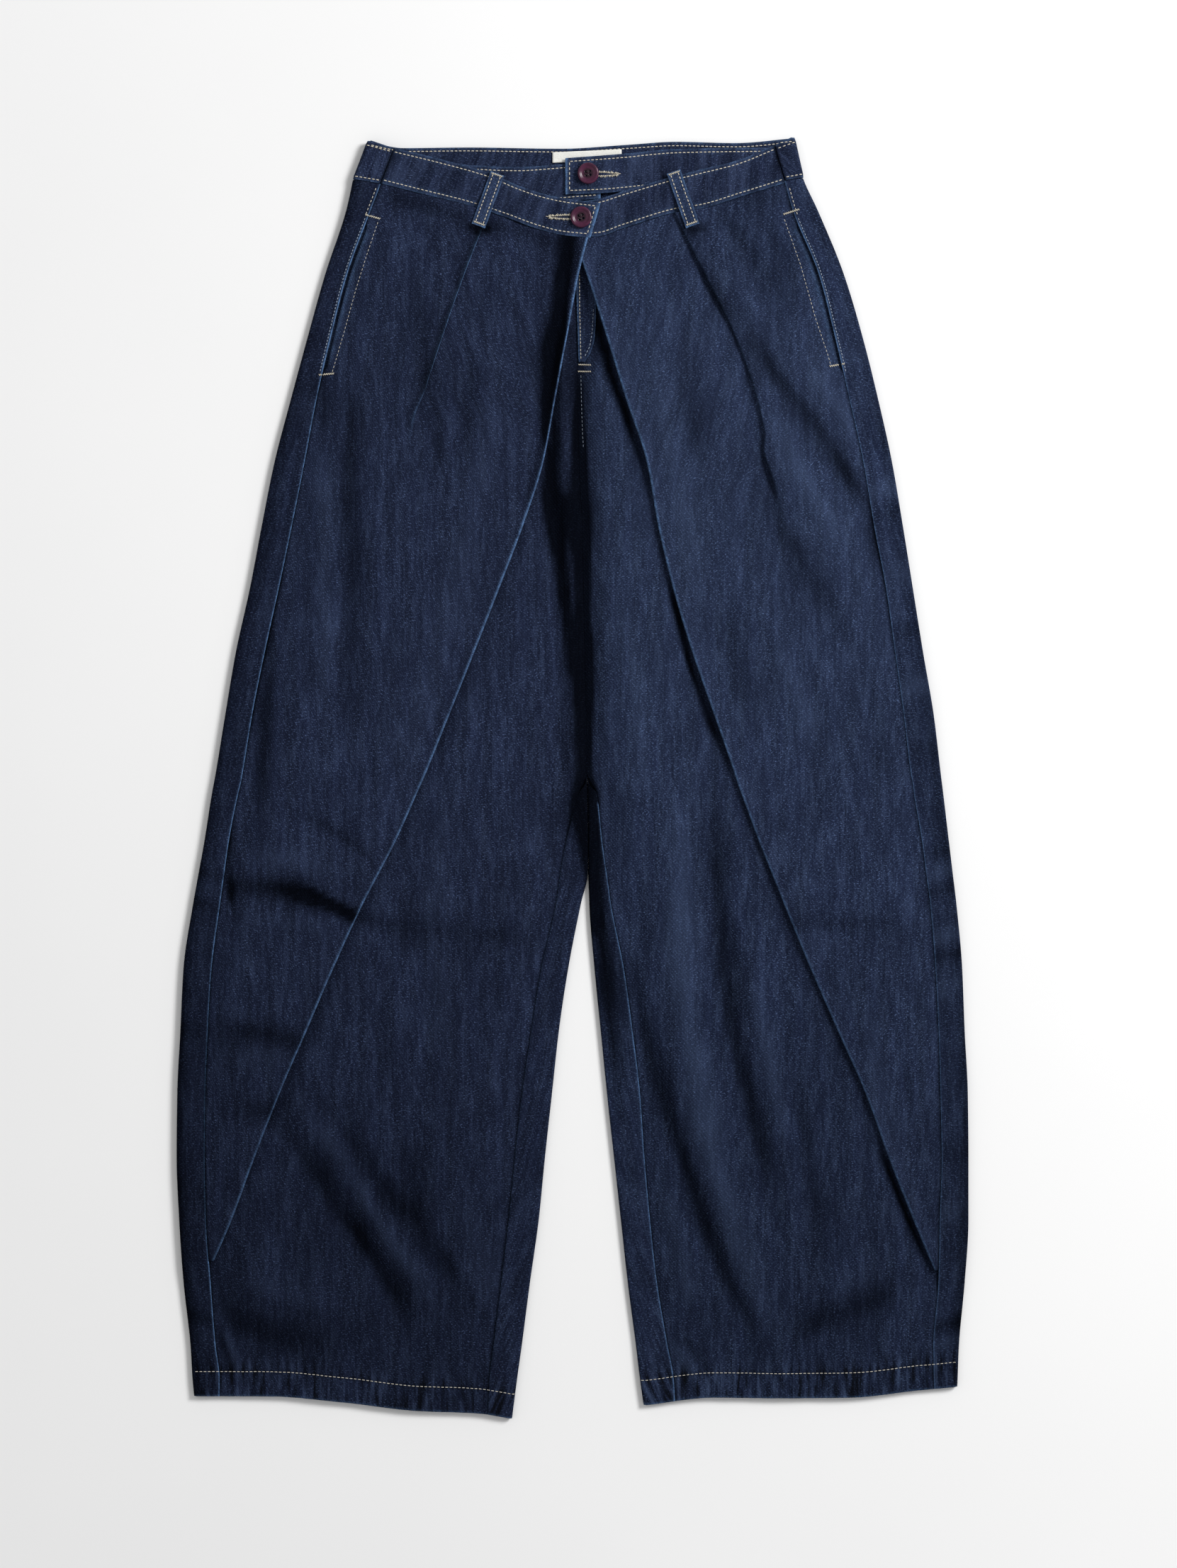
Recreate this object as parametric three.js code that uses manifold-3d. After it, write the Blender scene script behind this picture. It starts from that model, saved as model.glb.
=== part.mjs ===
// A pair of wide, low-crotched denim jeans with two layers of front, laid flat with the front up.
// Millimetres. +Y points to the waist, +Z up, and left and right are those of someone looking at them.
// The origin is the middle of the outline, on the surface that the jeans lie on.
import * as THREE from "three";
import { mergeVertices } from "three/addons/utils/BufferGeometryUtils.js";
import Module from "manifold-3d";

// Driving sizes
const CLOTH = 1.2; // one ply of denim
const BAND = 2.0; // a waistband, two plies pressed together
const THIN = 1.0; // belt loops, label and pocket facing
const SEAM_GAP = 0.3; // between pieces at a seam
const EDGE_GAP = 0.6; // the same where the edges slant or the cloth slopes
const LAYER_GAP = 0.4; // between plies that lie on each other
const STEP = CLOTH + LAYER_GAP; // height of a ply above the one that it lies on
const HEM_DEPTH = 20; // turned hem
const HEM_PLY = 1.0; // the turned ply, inside the leg
const TURN_IN = 40; // cloth turned under at the diagonal fold
const TURN_SHARE = 0.45; // the most of the panel's width that is turned under, near the fold's tip
const TUCK_REST = 0.55; // where across the panel the tuck's line runs on, below its end
const WAIST_LINE = 470.5; // where the back panels meet their waistband
const CROTCH = 4; // the legs divide below this
const ROLL_DEPTH = 16; // and over this much the back panels' inner edges roll up to the front
const FIRST_ROLL = 0.15; // radians of that roll above the crotch
const TIP_FADE = 25; // over this much below the diagonal fold the side seam sinks to the hem's level
const HEM_FADE = [-430, -455]; // the inseam rises between these to the hem's level
const TOP_BLEND = 130; // over this much the sections bend to follow a panel's top edge
const HEM_BLEND = 120; // and its hem
const BUTTON_RADIUS = 8.5;
const BUTTON_HEIGHT = 2.8;
const BUTTON_FACETS = 28;
const HOLE_RADIUS = 1;
const HOLE_OFFSET = 2.1; // from the button's middle
const LOOP_WIDTH = 11;
const BACK_LOOP_LENGTH = 26;
const POCKET_EDGE = 2; // the overlay stands back this much from the side seam at the pocket
const POCKET_SPAN = [[320, 328], [434, 442]]; // where that starts and where it ends
const LABEL_SLANT = 0.0455; // rise of the label per mm along it
const SHORT_FLAP = 1; // back panel beyond its roll, where the roll begins at the crotch

// Heights of the middle of a ply
const BACK = CLOTH / 2;
const INNER = 2.6; // inner front, where it lies lowest
const INSEAM = 3.6; // at the inseam, where the back panel's edge rolls up to it
const SIDE = 5.6; // at the side seam, where the back panel wraps round to the front
const HEM_LEVEL = 4.3; // all round the front of a leg at its hem
const WAIST_RISE = 1.0; // the front rises this much to the waistbands
const RISE_SPAN = [400, 450]; // between these heights
const PUFF = 1.6; // how far the inner front swells between its edges
const SWELL_REACH = 0.93; // share of the way to the side seam that swells
const CALM_TOP = [330, 430]; // it lies flatter from the first to the second towards the waist
const CALM_HEM = [-420, -470]; // and half as swollen towards the hem
const RIPPLE = 0.4; // soft upright waves in it
const WAVE_WIDTH = 15; // a wave's width over 2 pi
const WAVE_DRIFT = 95; // how slowly the waves wander down the leg
const SLACK = 0.25; // air between the inner front and the overlay
const LOOP_LEVEL = THIN / 2; // back belt loops, flat on the surface
const BACK_BAND = 2.5; // back waistband, over its belt loops and the back panels' top edges

// Sections
const TURN_STEPS = 4; // facets of a turned edge
const BACK_COLUMNS = [0.07, 0.14, 0.35, 0.57, 0.78, 1]; // shares of the way across a piece
const FRONT_COLUMNS = [0, 0.05, 0.11, 0.2, 0.3, 0.4, 0.5, 0.6, 0.7, 0.8, 0.9, 1];
const OVER_COLUMNS = [0.1, 0.22, 0.36, 0.54, 0.77, 1];
const FACING_COLUMNS = [-5, 0.5, 6]; // mm from the side seam
const BAND_COLUMNS = 18;
const UNDER_BAND = 460; // station of the inner fronts' top edge
const OVER_BAND = 450; // and of the overlays'
const TUCK_STATIONS = [434, 420, 400, 375, 350, 325, 300, 275, 250, 225, 200];
const FACING_STATIONS = [446, 425, 400, 375, 350, 330, 316];
const TIP_STEP = 12; // the last section but one above the diagonal fold's tip
const TUCK_JOIN = 10; // the tuck's line joins its rest over twice this height
const FLAT_TURN = 0.06; // radians left in the tuck's turns where it lies open
const FLAT_SHARE = 0.1; // the most of the panel's width that one of them takes
const SINK_LENGTH = 28; // past the tuck, the cloth comes down over this length

const table = (columns, rows) =>
  rows.map((row) => Object.fromEntries(columns.map((name, i) => [name, row[i]])));

// Lines of each leg at a height y: its outline, the side seam, the diagonal fold, the inseam and the
// inner outline. Above the crotch the last two are the centre seam.
const LINES = ["y", "edge", "side", "fold", "inseam", "inner"];
const LEFT_LINES = table(LINES, [
  [485, -172, -149, 26, 4, 4],
  [475, -174, -151, 24, 4, 4],
  [450, -179.5, -160, 18.5, 4, 4],
  [400, -196, -178.5, 5.5, 4, 4],
  [350, -210, -191.5, -4, 4, 4],
  [300, -223.5, -203, -13.5, 4, 4],
  [250, -236.5, -212.5, -23, 5, 5],
  [200, -246.5, -222.5, -39, 7.5, 7.5],
  [150, -256, -233, -58, 8.5, 8.5],
  [100, -267, -244, -77.5, 9.5, 9.5],
  [50, -275.5, -254, -97.5, 10.5, 10.5],
  [4, -283, -261.5, -116, 11.5, 11.5],
  [-4, -284.5, -263, -119.5, 8, 11.5],
  [-12, -286, -265, -123, 5, 11.7],
  [-50, -292, -272.5, -140, -5.5, 12.3],
  [-100, -301, -279.5, -166, -13.5, 9],
  [-150, -308.5, -286, -189, -25, -3],
  [-200, -311, -289, -210.5, -33, -10.5],
  [-250, -313.5, -291, -232, -40.5, -16],
  [-300, -314, -291.5, -251.5, -46, -21.5],
  [-350, -312, -290.5, -270, -51, -26.5],
  [-400, -308.5, -287, -292, -57, -33.5],
  [-450, -303, -283, -312, -63, -40],
  [-475, -301.5, -280, -322, -66, -43.5],
  [-510, -298, -280, -330, -67.5, -48],
]);
const RIGHT_LINES = table(LINES, [
  [485, 180, 165, -24, 4, 4],
  [475, 183, 167.5, -20, 4, 4],
  [450, 194.5, 174.5, -10, 4, 4],
  [400, 215, 195, 10.5, 4, 4],
  [350, 230, 208, 26.5, 4, 4],
  [300, 242.5, 219.5, 42, 4, 4],
  [250, 253.5, 230.5, 58.5, 5, 5],
  [200, 262, 239, 67.5, 7.5, 7.5],
  [150, 270, 248.5, 79.5, 8.5, 8.5],
  [100, 278, 255.5, 94.5, 9.5, 9.5],
  [50, 286.5, 262.5, 112, 10.5, 10.5],
  [4, 292, 268, 128, 11.5, 11.5],
  [-4, 293, 269.5, 130.5, 15.2, 11.5],
  [-12, 294, 270.5, 133.5, 19, 11.9],
  [-50, 298.5, 277, 147.5, 23.5, 12.9],
  [-100, 304.5, 283.5, 167.5, 30.5, 11.5],
  [-150, 309, 287.5, 188, 40.5, 17],
  [-200, 311, 290, 210, 47.5, 22],
  [-250, 313.5, 291.5, 232, 53.5, 27],
  [-300, 314, 292.5, 250, 57, 32.5],
  [-350, 314, 291, 270, 61.5, 38],
  [-400, 311, 290, 291, 67, 43.5],
  [-450, 306.5, 286, 311, 75.5, 50],
  [-475, 305.5, 286.5, 321, 80, 53],
  [-510, 304, 289, 330, 82, 58],
]);

// The small tuck below each belt loop: where its edge runs and how deep it is folded.
const TUCK = ["y", "edge", "depth"];
const LEFT_TUCK = table(TUCK, [
  [475, -58, 16],
  [450, -66, 16],
  [400, -85, 13],
  [350, -102.5, 7],
  [315, -114, 1],
]);
const RIGHT_TUCK = table(TUCK, [
  [475, 71, 16],
  [450, 80, 16],
  [400, 104, 14],
  [350, 128.5, 10],
  [300, 146, 5],
  [265, 154, 1],
]);

// The bottom edge of each hem.
const HEM = ["x", "y"];
const LEFT_HEM = table(HEM, [
  [-299, -489.5],
  [-242, -489.5],
  [-180, -494.5],
  [-124, -501],
  [-76, -503],
  [-48, -507.4],
]);
const RIGHT_HEM = table(HEM, [
  [59, -496.5],
  [112, -490.5],
  [166, -491],
  [220, -490.5],
  [273, -485],
  [305, -482],
]);

// The waistbands: points on the top edge and the bottom edge, and the level of the middle.
const BAND_LINE = ["topX", "topY", "bottomX", "bottomY", "level"];
const OUTER_LEFT = table(BAND_LINE, [
  [-141.3, 499, -152, 471.2, 7.1],
  [-104, 490, -121.5, 463.5, 7.2],
  [-64, 478.5, -81.5, 453.5, 7.4],
  [-44, 469.5, -52, 444, 8.2],
  [-24, 462.5, -30, 435.5, 10.2],
  [-6, 458.5, -10, 430, 11.6],
  [22, 455, 14, 427.5, 11.6],
]);
const OUTER_RIGHT = table(BAND_LINE, [
  [1, 456, 1, 430, 8.9],
  [18, 458, 18, 428.8, 8.9],
  [41.5, 465, 41.5, 436, 8.9],
  [74, 474.8, 81.5, 448.3, 7.5],
  [99.5, 481.5, 103, 451.5, 7.3],
  [129.5, 488.8, 134, 461, 7.2],
  [159.8, 501.2, 168, 471.4, 7.1],
]);
const INNER_LEFT = table(BAND_LINE, [
  [-139, 496, -149, 470, 4.7],
  [-121.5, 492.5, -128, 463, 4.7],
  [-84, 486, -86, 456, 4.7],
  [-44, 484.3, -44, 454.5, 4.7],
  [-9, 486.5, -9, 457, 4.7],
  [22, 489, 22, 459.5, 4.7],
]);
const INNER_RIGHT = table(BAND_LINE, [
  [-5.5, 491, -5.5, 462.4, 7.1],
  [22, 493, 22, 463.4, 7.1],
  [45, 495, 45, 465.5, 5.9],
  [62, 497, 62, 467.5, 4.9],
  [80, 498.4, 81, 469, 4.8],
  [120, 499.3, 124, 470, 4.7],
  [156.5, 499.6, 165, 471, 4.7],
]);
// The right inner front stops below the left waistband's hidden end, and then follows its own.
const FRONT_RIGHT_TOP = table(BAND_LINE.slice(2, 4), [
  [4, 457],
  [28, 458.3],
  [52, 466],
  [81, 469],
  [124, 470],
  [165, 471],
]);
const BACK_TOP = table(["x", "y"], [
  [-163, 505],
  [-134, 499.5],
  [-82, 500],
  [-9, 499],
  [42, 502],
  [82, 504.5],
  [129, 503.5],
  [176, 507.4],
]);
const BACK_BAND_SIDES = table(["side", "seamTopX", "seamTopY", "edgeTopX", "seamLowX", "edgeLowX"], [
  [-1, -141.3, 499, -163, -152, -174.5],
  [1, 159.8, 501.2, 176.5, 168, 183.5],
]);

// The fly's strip, from the centre seam to its stitched edge.
const FLY = table(["y", "from", "to"], [
  [455, 2.8, 18.6],
  [430, 2.8, 18.6],
  [400, 2.8, 18.6],
  [370, 3.5, 18.6],
  [350, 4.3, 17.6],
  [338, 4.6, 14.5],
  [330, 5, 9.5],
]);
const LABEL_CORNER = { x: -15.8, topY: 496, lowY: 487.9, width: 54.6 };

// Buttons: middle, and the level of the middle of the band under each.
const BUTTONS = table(["name", "x", "y", "level"], [
  ["button_upper", 12.4, 478.7, 7.1],
  ["button_lower", 6.8, 444.4, 11.6],
]);
const HALF_BUTTON = BUTTON_HEIGHT / 2;
const BUTTON_PROFILE = table(["r", "h"], [
  [0, -HALF_BUTTON],
  [0.7 * BUTTON_RADIUS, -HALF_BUTTON],
  [BUTTON_RADIUS - 0.4, 0.7 - HALF_BUTTON],
  [BUTTON_RADIUS, 0],
  [BUTTON_RADIUS - 0.4, HALF_BUTTON - 0.5],
  [0.84 * BUTTON_RADIUS, HALF_BUTTON],
  [0.66 * BUTTON_RADIUS, HALF_BUTTON - 0.9],
  [0, HALF_BUTTON - 1.2],
]);

// Belt loops: the middle of the top end and of the bottom end.
const FRONT_LOOPS = table(["name", "topX", "topY", "lowX", "lowY"], [
  ["belt_loop_front_left", -59.5, 478.5, -74.5, 437],
  ["belt_loop_front_right", 80, 480, 95, 437],
]);
const FRONT_LOOP_LEVELS = table(["share", "level"], [
  [0, 9.5],
  [0.42, 9.7],
  [0.6, 11.8],
  [1, 11.8],
]);
const BACK_LOOP_LEVELS = table(["share", "level"], [
  [0, LOOP_LEVEL],
  [1, LOOP_LEVEL],
]);
const BACK_LOOPS = table(["name", "x"], [
  ["belt_loop_back_left", -92],
  ["belt_loop_back_centre", 4],
  ["belt_loop_back_right", 104],
]);

const clamp = (v) => Math.min(1, Math.max(0, v));
const mix = (a, b, t) => a + (b - a) * t;
const smooth = (from, to, v) => {
  const t = clamp((v - from) / (to - from));
  return t * t * (3 - 2 * t);
};
const range = (count) => Array.from({ length: count }, (_, i) => i);

// A smooth curve through a table's column, with no overshoot. The key column rises or falls.
function curve(rows, key, column) {
  const sorted = [...rows].sort((a, b) => a[key] - b[key]);
  const at = sorted.map((row) => row[key]);
  const value = sorted.map((row) => row[column]);
  const slope = range(at.length - 1).map((i) => (value[i + 1] - value[i]) / (at[i + 1] - at[i]));
  const tangent = at.map((_, i) => {
    const before = slope[Math.max(0, i - 1)];
    const after = slope[Math.min(slope.length - 1, i)];
    return before * after <= 0 ? 0 : (2 * before * after) / (before + after);
  });
  return (v) => {
    if (v <= at[0]) return value[0];
    if (v >= at[at.length - 1]) return value[at.length - 1];
    const i = at.findIndex((_, k) => v < at[k + 1]);
    const width = at[i + 1] - at[i];
    const t = (v - at[i]) / width;
    const bend = t * t * (3 - 2 * t);
    const enter = t * (1 - t) * (1 - t) * width;
    const leave = t * t * (t - 1) * width;
    return mix(value[i], value[i + 1], bend) + enter * tangent[i] + leave * tangent[i + 1];
  };
}

function makeLeg({ lines, tuck, hem, overBand, underBand, ...rest }) {
  const line = Object.fromEntries(LINES.slice(1).map((name) => [name, curve(lines, "y", name)]));
  return {
    ...rest,
    ...line,
    tuckEdge: curve(tuck, "y", "edge"),
    tuckDepth: curve(tuck, "y", "depth"),
    tuckStart: tuck[tuck.length - 1].y,
    hem: curve(hem, "x", "y"),
    hemY: mix(hem[0].y, hem[hem.length - 1].y, 0.5),
    overBand: curve(overBand, "bottomX", "bottomY"),
    underBand: curve(underBand, "bottomX", "bottomY"),
  };
}
// tipY is where the diagonal fold ends. The overlay is lifted by its own height where it crosses what
// lies under it: the right one over the fly, and the left one over both.
const LEFT = makeLeg({
  sign: -1,
  lines: LEFT_LINES,
  tuck: LEFT_TUCK,
  hem: LEFT_HEM,
  overBand: OUTER_LEFT,
  underBand: INNER_LEFT,
  tipY: -382,
  tuckEnd: 275,
  lifted: { height: 4.9, x: [-60, -8], y: [330, 398] },
});
const RIGHT = makeLeg({
  sign: 1,
  lines: RIGHT_LINES,
  tuck: RIGHT_TUCK,
  hem: RIGHT_HEM,
  overBand: OUTER_RIGHT,
  underBand: FRONT_RIGHT_TOP,
  tipY: -390,
  tuckEnd: 205,
  lifted: { height: 1.7, x: [60, 25], y: [300, 375] },
});

// Levels of the plies
const waistRise = (y) => WAIST_RISE * smooth(...RISE_SPAN, y);
const belowTip = (leg, y) => smooth(leg.tipY, leg.tipY - TIP_FADE, y);
const sideLevel = (leg, y) => mix(SIDE, HEM_LEVEL, belowTip(leg, y)) + waistRise(y);
const crotchLevel = (y) => mix(INNER, INSEAM, smooth(CROTCH, CROTCH - ROLL_DEPTH, y));
const inseamLevel = (y) => mix(crotchLevel(y), HEM_LEVEL, smooth(...HEM_FADE, y));
const lift = ({ lifted }, x, y) => lifted.height * smooth(...lifted.x, x) * smooth(...lifted.y, y);

function innerLevel(leg, x, y) {
  const share = clamp((x - leg.inseam(y)) / (leg.side(y) - leg.inseam(y)));
  const swell = 1 - (2 * Math.min(1, share / SWELL_REACH) - 1) ** 4;
  const freedom = (1 - smooth(...CALM_TOP, y)) * (1 - 0.5 * smooth(...CALM_HEM, y));
  const wave = Math.sin(x / WAVE_WIDTH + Math.sin(y / WAVE_DRIFT));
  const edges = mix(inseamLevel(y), mix(INNER, HEM_LEVEL, belowTip(leg, y)), share);
  return edges + waistRise(y) + (PUFF + RIPPLE * wave) * swell * freedom;
}

// Where a section's point lies: the section at station v runs level across the middle of the leg,
// and bends to follow the panel's top edge and the hem. outward(y) is the point's distance outward.
function locate(leg, v, top, topStation, outward) {
  let y = v;
  let x = leg.sign * outward(y);
  const up = smooth(topStation - TOP_BLEND, topStation, v);
  const down = smooth(leg.hemY + HEM_BLEND, leg.hemY, v);
  for (let round = 0; round < 4; round += 1) {
    y = v + (top(x) - topStation) * up + (leg.hem(x) - leg.hemY) * down;
    x = leg.sign * outward(y);
  }
  return [x, y];
}

// A cloth wall through rows of points, each row a line across the piece. It is offset square to each
// row, by outer towards the row's left as it runs in +x, by inner towards its right, and closed.
function wall(rows, { flip = 1, outer = CLOTH / 2, inner = CLOTH / 2 } = {}) {
  const high = rows.length;
  const wide = rows[0].length;
  const sides = [[], []];
  rows.forEach((row, i) => {
    const depths = [outer, typeof inner === "function" ? -inner(i) : -inner];
    const normals = range(wide - 1).map((j) => {
      const dx = row[j + 1][0] - row[j][0];
      const dz = row[j + 1][2] - row[j][2];
      const length = Math.hypot(dx, dz);
      return [(-flip * dz) / length, (flip * dx) / length];
    });
    row.forEach(([x, y, z], j) => {
      const [ax, az] = normals[Math.max(0, j - 1)];
      const [bx, bz] = normals[Math.min(wide - 2, j)];
      const reach = 2 / Math.max(0.8, (ax + bx) ** 2 + (az + bz) ** 2);
      depths.forEach((depth, k) =>
        sides[k].push(x + depth * reach * (ax + bx), y, z + depth * reach * (az + bz)),
      );
    });
  });
  const count = high * wide;
  const faces = [];
  const quad = (a, b, c, d) => faces.push(a, b, c, a, c, d);
  const at = (i, j, k) => k * count + i * wide + j;
  for (let i = 0; i < high - 1; i += 1) {
    for (let j = 0; j < wide - 1; j += 1) {
      quad(at(i, j, 0), at(i + 1, j, 0), at(i + 1, j + 1, 0), at(i, j + 1, 0));
      quad(at(i, j, 1), at(i, j + 1, 1), at(i + 1, j + 1, 1), at(i + 1, j, 1));
    }
    const last = wide - 1;
    quad(at(i, 0, 0), at(i, 0, 1), at(i + 1, 0, 1), at(i + 1, 0, 0));
    quad(at(i, last, 0), at(i + 1, last, 0), at(i + 1, last, 1), at(i, last, 1));
  }
  for (let j = 0; j < wide - 1; j += 1) {
    const last = high - 1;
    quad(at(0, j, 0), at(0, j + 1, 0), at(0, j + 1, 1), at(0, j, 1));
    quad(at(last, j, 0), at(last, j, 1), at(last, j + 1, 1), at(last, j + 1, 0));
  }
  const geometry = new THREE.BufferGeometry();
  const points = new Float32Array([...sides[0], ...sides[1]]);
  geometry.setAttribute("position", new THREE.BufferAttribute(points, 3));
  geometry.setIndex(faces);
  return facingOut(geometry);
}

function facingOut(geometry) {
  const position = geometry.getAttribute("position");
  const index = geometry.getIndex().array;
  const [a, b, c] = [new THREE.Vector3(), new THREE.Vector3(), new THREE.Vector3()];
  let volume = 0;
  for (let i = 0; i < index.length; i += 3) {
    a.fromBufferAttribute(position, index[i]);
    b.fromBufferAttribute(position, index[i + 1]);
    c.fromBufferAttribute(position, index[i + 2]);
    volume += a.dot(b.cross(c)) / 6;
  }
  if (volume < 0) geometry.setIndex([...index].reverse());
  geometry.computeVertexNormals();
  return geometry;
}

// Points of a turn in the cloth: from a start point [outward, level], heading turned by angle, on
// a radius. A heading of 0 runs outward, and a positive angle turns upward. The start is left out.
function turn([out, level], heading, angle, radius, steps) {
  return range(steps).map((i) => {
    const now = heading + (angle * (i + 1)) / steps;
    const way = Math.sign(angle);
    return [
      out + way * radius * (Math.sin(now) - Math.sin(heading)),
      level - way * radius * (Math.cos(now) - Math.cos(heading)),
    ];
  });
}

// Stations of the sections down a leg. The turned hem's ply begins at a step between two of them.
const hemTop = (leg) => leg.hemY + HEM_DEPTH;
const HIP_STATIONS = [450, 425, 400, 350, 300, 250, 200, 150, 100, 50];
const CROTCH_STATIONS = [CROTCH, CROTCH - ROLL_DEPTH / 2, CROTCH - ROLL_DEPTH];
const LEG_STATIONS = [-50, -100, -150, -200, -250, -300, -350];
const legStations = (leg, top) => [
  top,
  ...HIP_STATIONS,
  ...CROTCH_STATIONS,
  ...LEG_STATIONS,
  leg.tipY,
  leg.tipY - TIP_FADE,
  HEM_FADE[0],
  hemTop(leg) + 0.5,
  hemTop(leg),
  leg.hemY,
];
const hemInside = (leg, stations) => (i) => CLOTH / 2 + (stations[i] <= hemTop(leg) ? HEM_PLY : 0);

// The back panels' top edge, along the waistband. It rises towards the sides.
const SIDE_RISE = { height: 5, x: [150, 182] };
const waistLine = (x) => {
  const [from, to] = SIDE_RISE.x;
  return WAIST_LINE - SEAM_GAP + SIDE_RISE.height * clamp((Math.abs(x) - from) / (to - from));
};

// A back panel: from the side seam on the front, round the outer edge, across under the leg, and
// below the crotch round the inner edge and up to the inseam on the front.
function backPanel(leg) {
  const stations = legStations(leg, WAIST_LINE);
  const rows = stations.map((v) => {
    const put = (outward) => locate(leg, v, waistLine, WAIST_LINE, outward);
    const [, y] = put((at) => leg.sign * leg.edge(at));
    const side = sideLevel(leg, y);
    const round = (side - BACK) / 2;
    const seam = (at) => leg.sign * leg.side(at);
    const brow = (at) => leg.sign * leg.edge(at) - round - CLOTH / 2;
    const inset = (from, to, t) => (at) => mix(from(at), to(at), t);
    const points = [0, 0.5, 1].map((t) => [...put(inset(seam, brow, t)), side]);
    turn([0, side], 0, -Math.PI, round, TURN_STEPS).forEach(([out, level]) =>
      points.push([...put((at) => brow(at) + out), level]),
    );

    const roll = mix(FIRST_ROLL, Math.PI, clamp((CROTCH - y) / ROLL_DEPTH));
    const radius = (inseamLevel(y) - BACK) / 2;
    const inner = (at) => leg.sign * leg.inner(at) + SEAM_GAP;
    const curl = [[0, 0], ...turn([0, 0], 0, roll, radius, TURN_STEPS)];
    const [curlOut, curlUp] = curl[TURN_STEPS];
    const tip = [curlOut + Math.cos(roll) * SHORT_FLAP, curlUp + Math.sin(roll) * SHORT_FLAP];
    const widest = Math.max(...curl.map(([out]) => out), tip[0]);
    const reach = widest + (CLOTH / 2) * clamp(roll - FIRST_ROLL);
    const foot = (at) => inner(at) + reach;
    const rolledUp = y <= CROTCH - ROLL_DEPTH;
    const end = rolledUp ? (at) => leg.sign * leg.inseam(at) : (at) => foot(at) - tip[0];
    BACK_COLUMNS.forEach((t) => points.push([...put(inset(brow, foot, t)), BACK]));
    curl.slice(1).forEach(([out, up]) => points.push([...put((at) => foot(at) - out), BACK + up]));
    points.push([...put(end), BACK + tip[1]]);
    return points;
  });
  return wall(rows, { flip: leg.sign, inner: hemInside(leg, stations) });
}

// An inner front: from the centre seam, or the inseam, to the side seam.
function frontPanel(leg) {
  const topStation = UNDER_BAND;
  const stations = legStations(leg, topStation);
  const top = (x) => leg.underBand(x) - EDGE_GAP;
  const rows = stations.map((v) =>
    FRONT_COLUMNS.map((share) => {
      const outward = (at) => {
        const from = leg.sign * leg.inseam(at) + SEAM_GAP;
        return mix(from, leg.sign * leg.side(at) - SEAM_GAP, share);
      };
      const [x, y] = locate(leg, v, top, topStation, outward);
      return [x, y, innerLevel(leg, x, y)];
    }),
  );
  return wall(rows, { flip: leg.sign, inner: hemInside(leg, stations) });
}

// The opening of the side pocket, where the overlay's edge stands back from the side seam.
const opening = (y) => {
  const [bottom, top] = POCKET_SPAN;
  return POCKET_EDGE * (smooth(...bottom, y) - smooth(...top, y));
};

// The small tuck's section at a height: its two turns, up and back over itself and then on again,
// with the cloth between them. Below its end it opens out flat. Points are [outward, level] from the
// start of the first turn.
function tuckSection(leg, y, width) {
  const folded = smooth(leg.tuckEnd, leg.tuckStart, y);
  const angle = Math.min(Math.PI, Math.PI * folded + FLAT_TURN);
  const radius = Math.min((Math.PI * STEP) / 2, FLAT_SHARE * width) / angle;
  const depth = angle < Math.PI ? (FLAT_SHARE / 10) * width : leg.tuckDepth(y);
  const first = turn([0, 0], 0, angle, radius, TURN_STEPS);
  const [firstOut, firstUp] = first[TURN_STEPS - 1];
  const back = [firstOut + depth * Math.cos(angle), firstUp + depth * Math.sin(angle)];
  const second = turn(back, angle, -angle, radius, TURN_STEPS);
  const under = (depth + radius + CLOTH / 2) * ((1 - Math.cos(angle)) / 2);
  return { points: [...first, back, ...second], end: second[TURN_STEPS - 1], radius, under };
}

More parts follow.
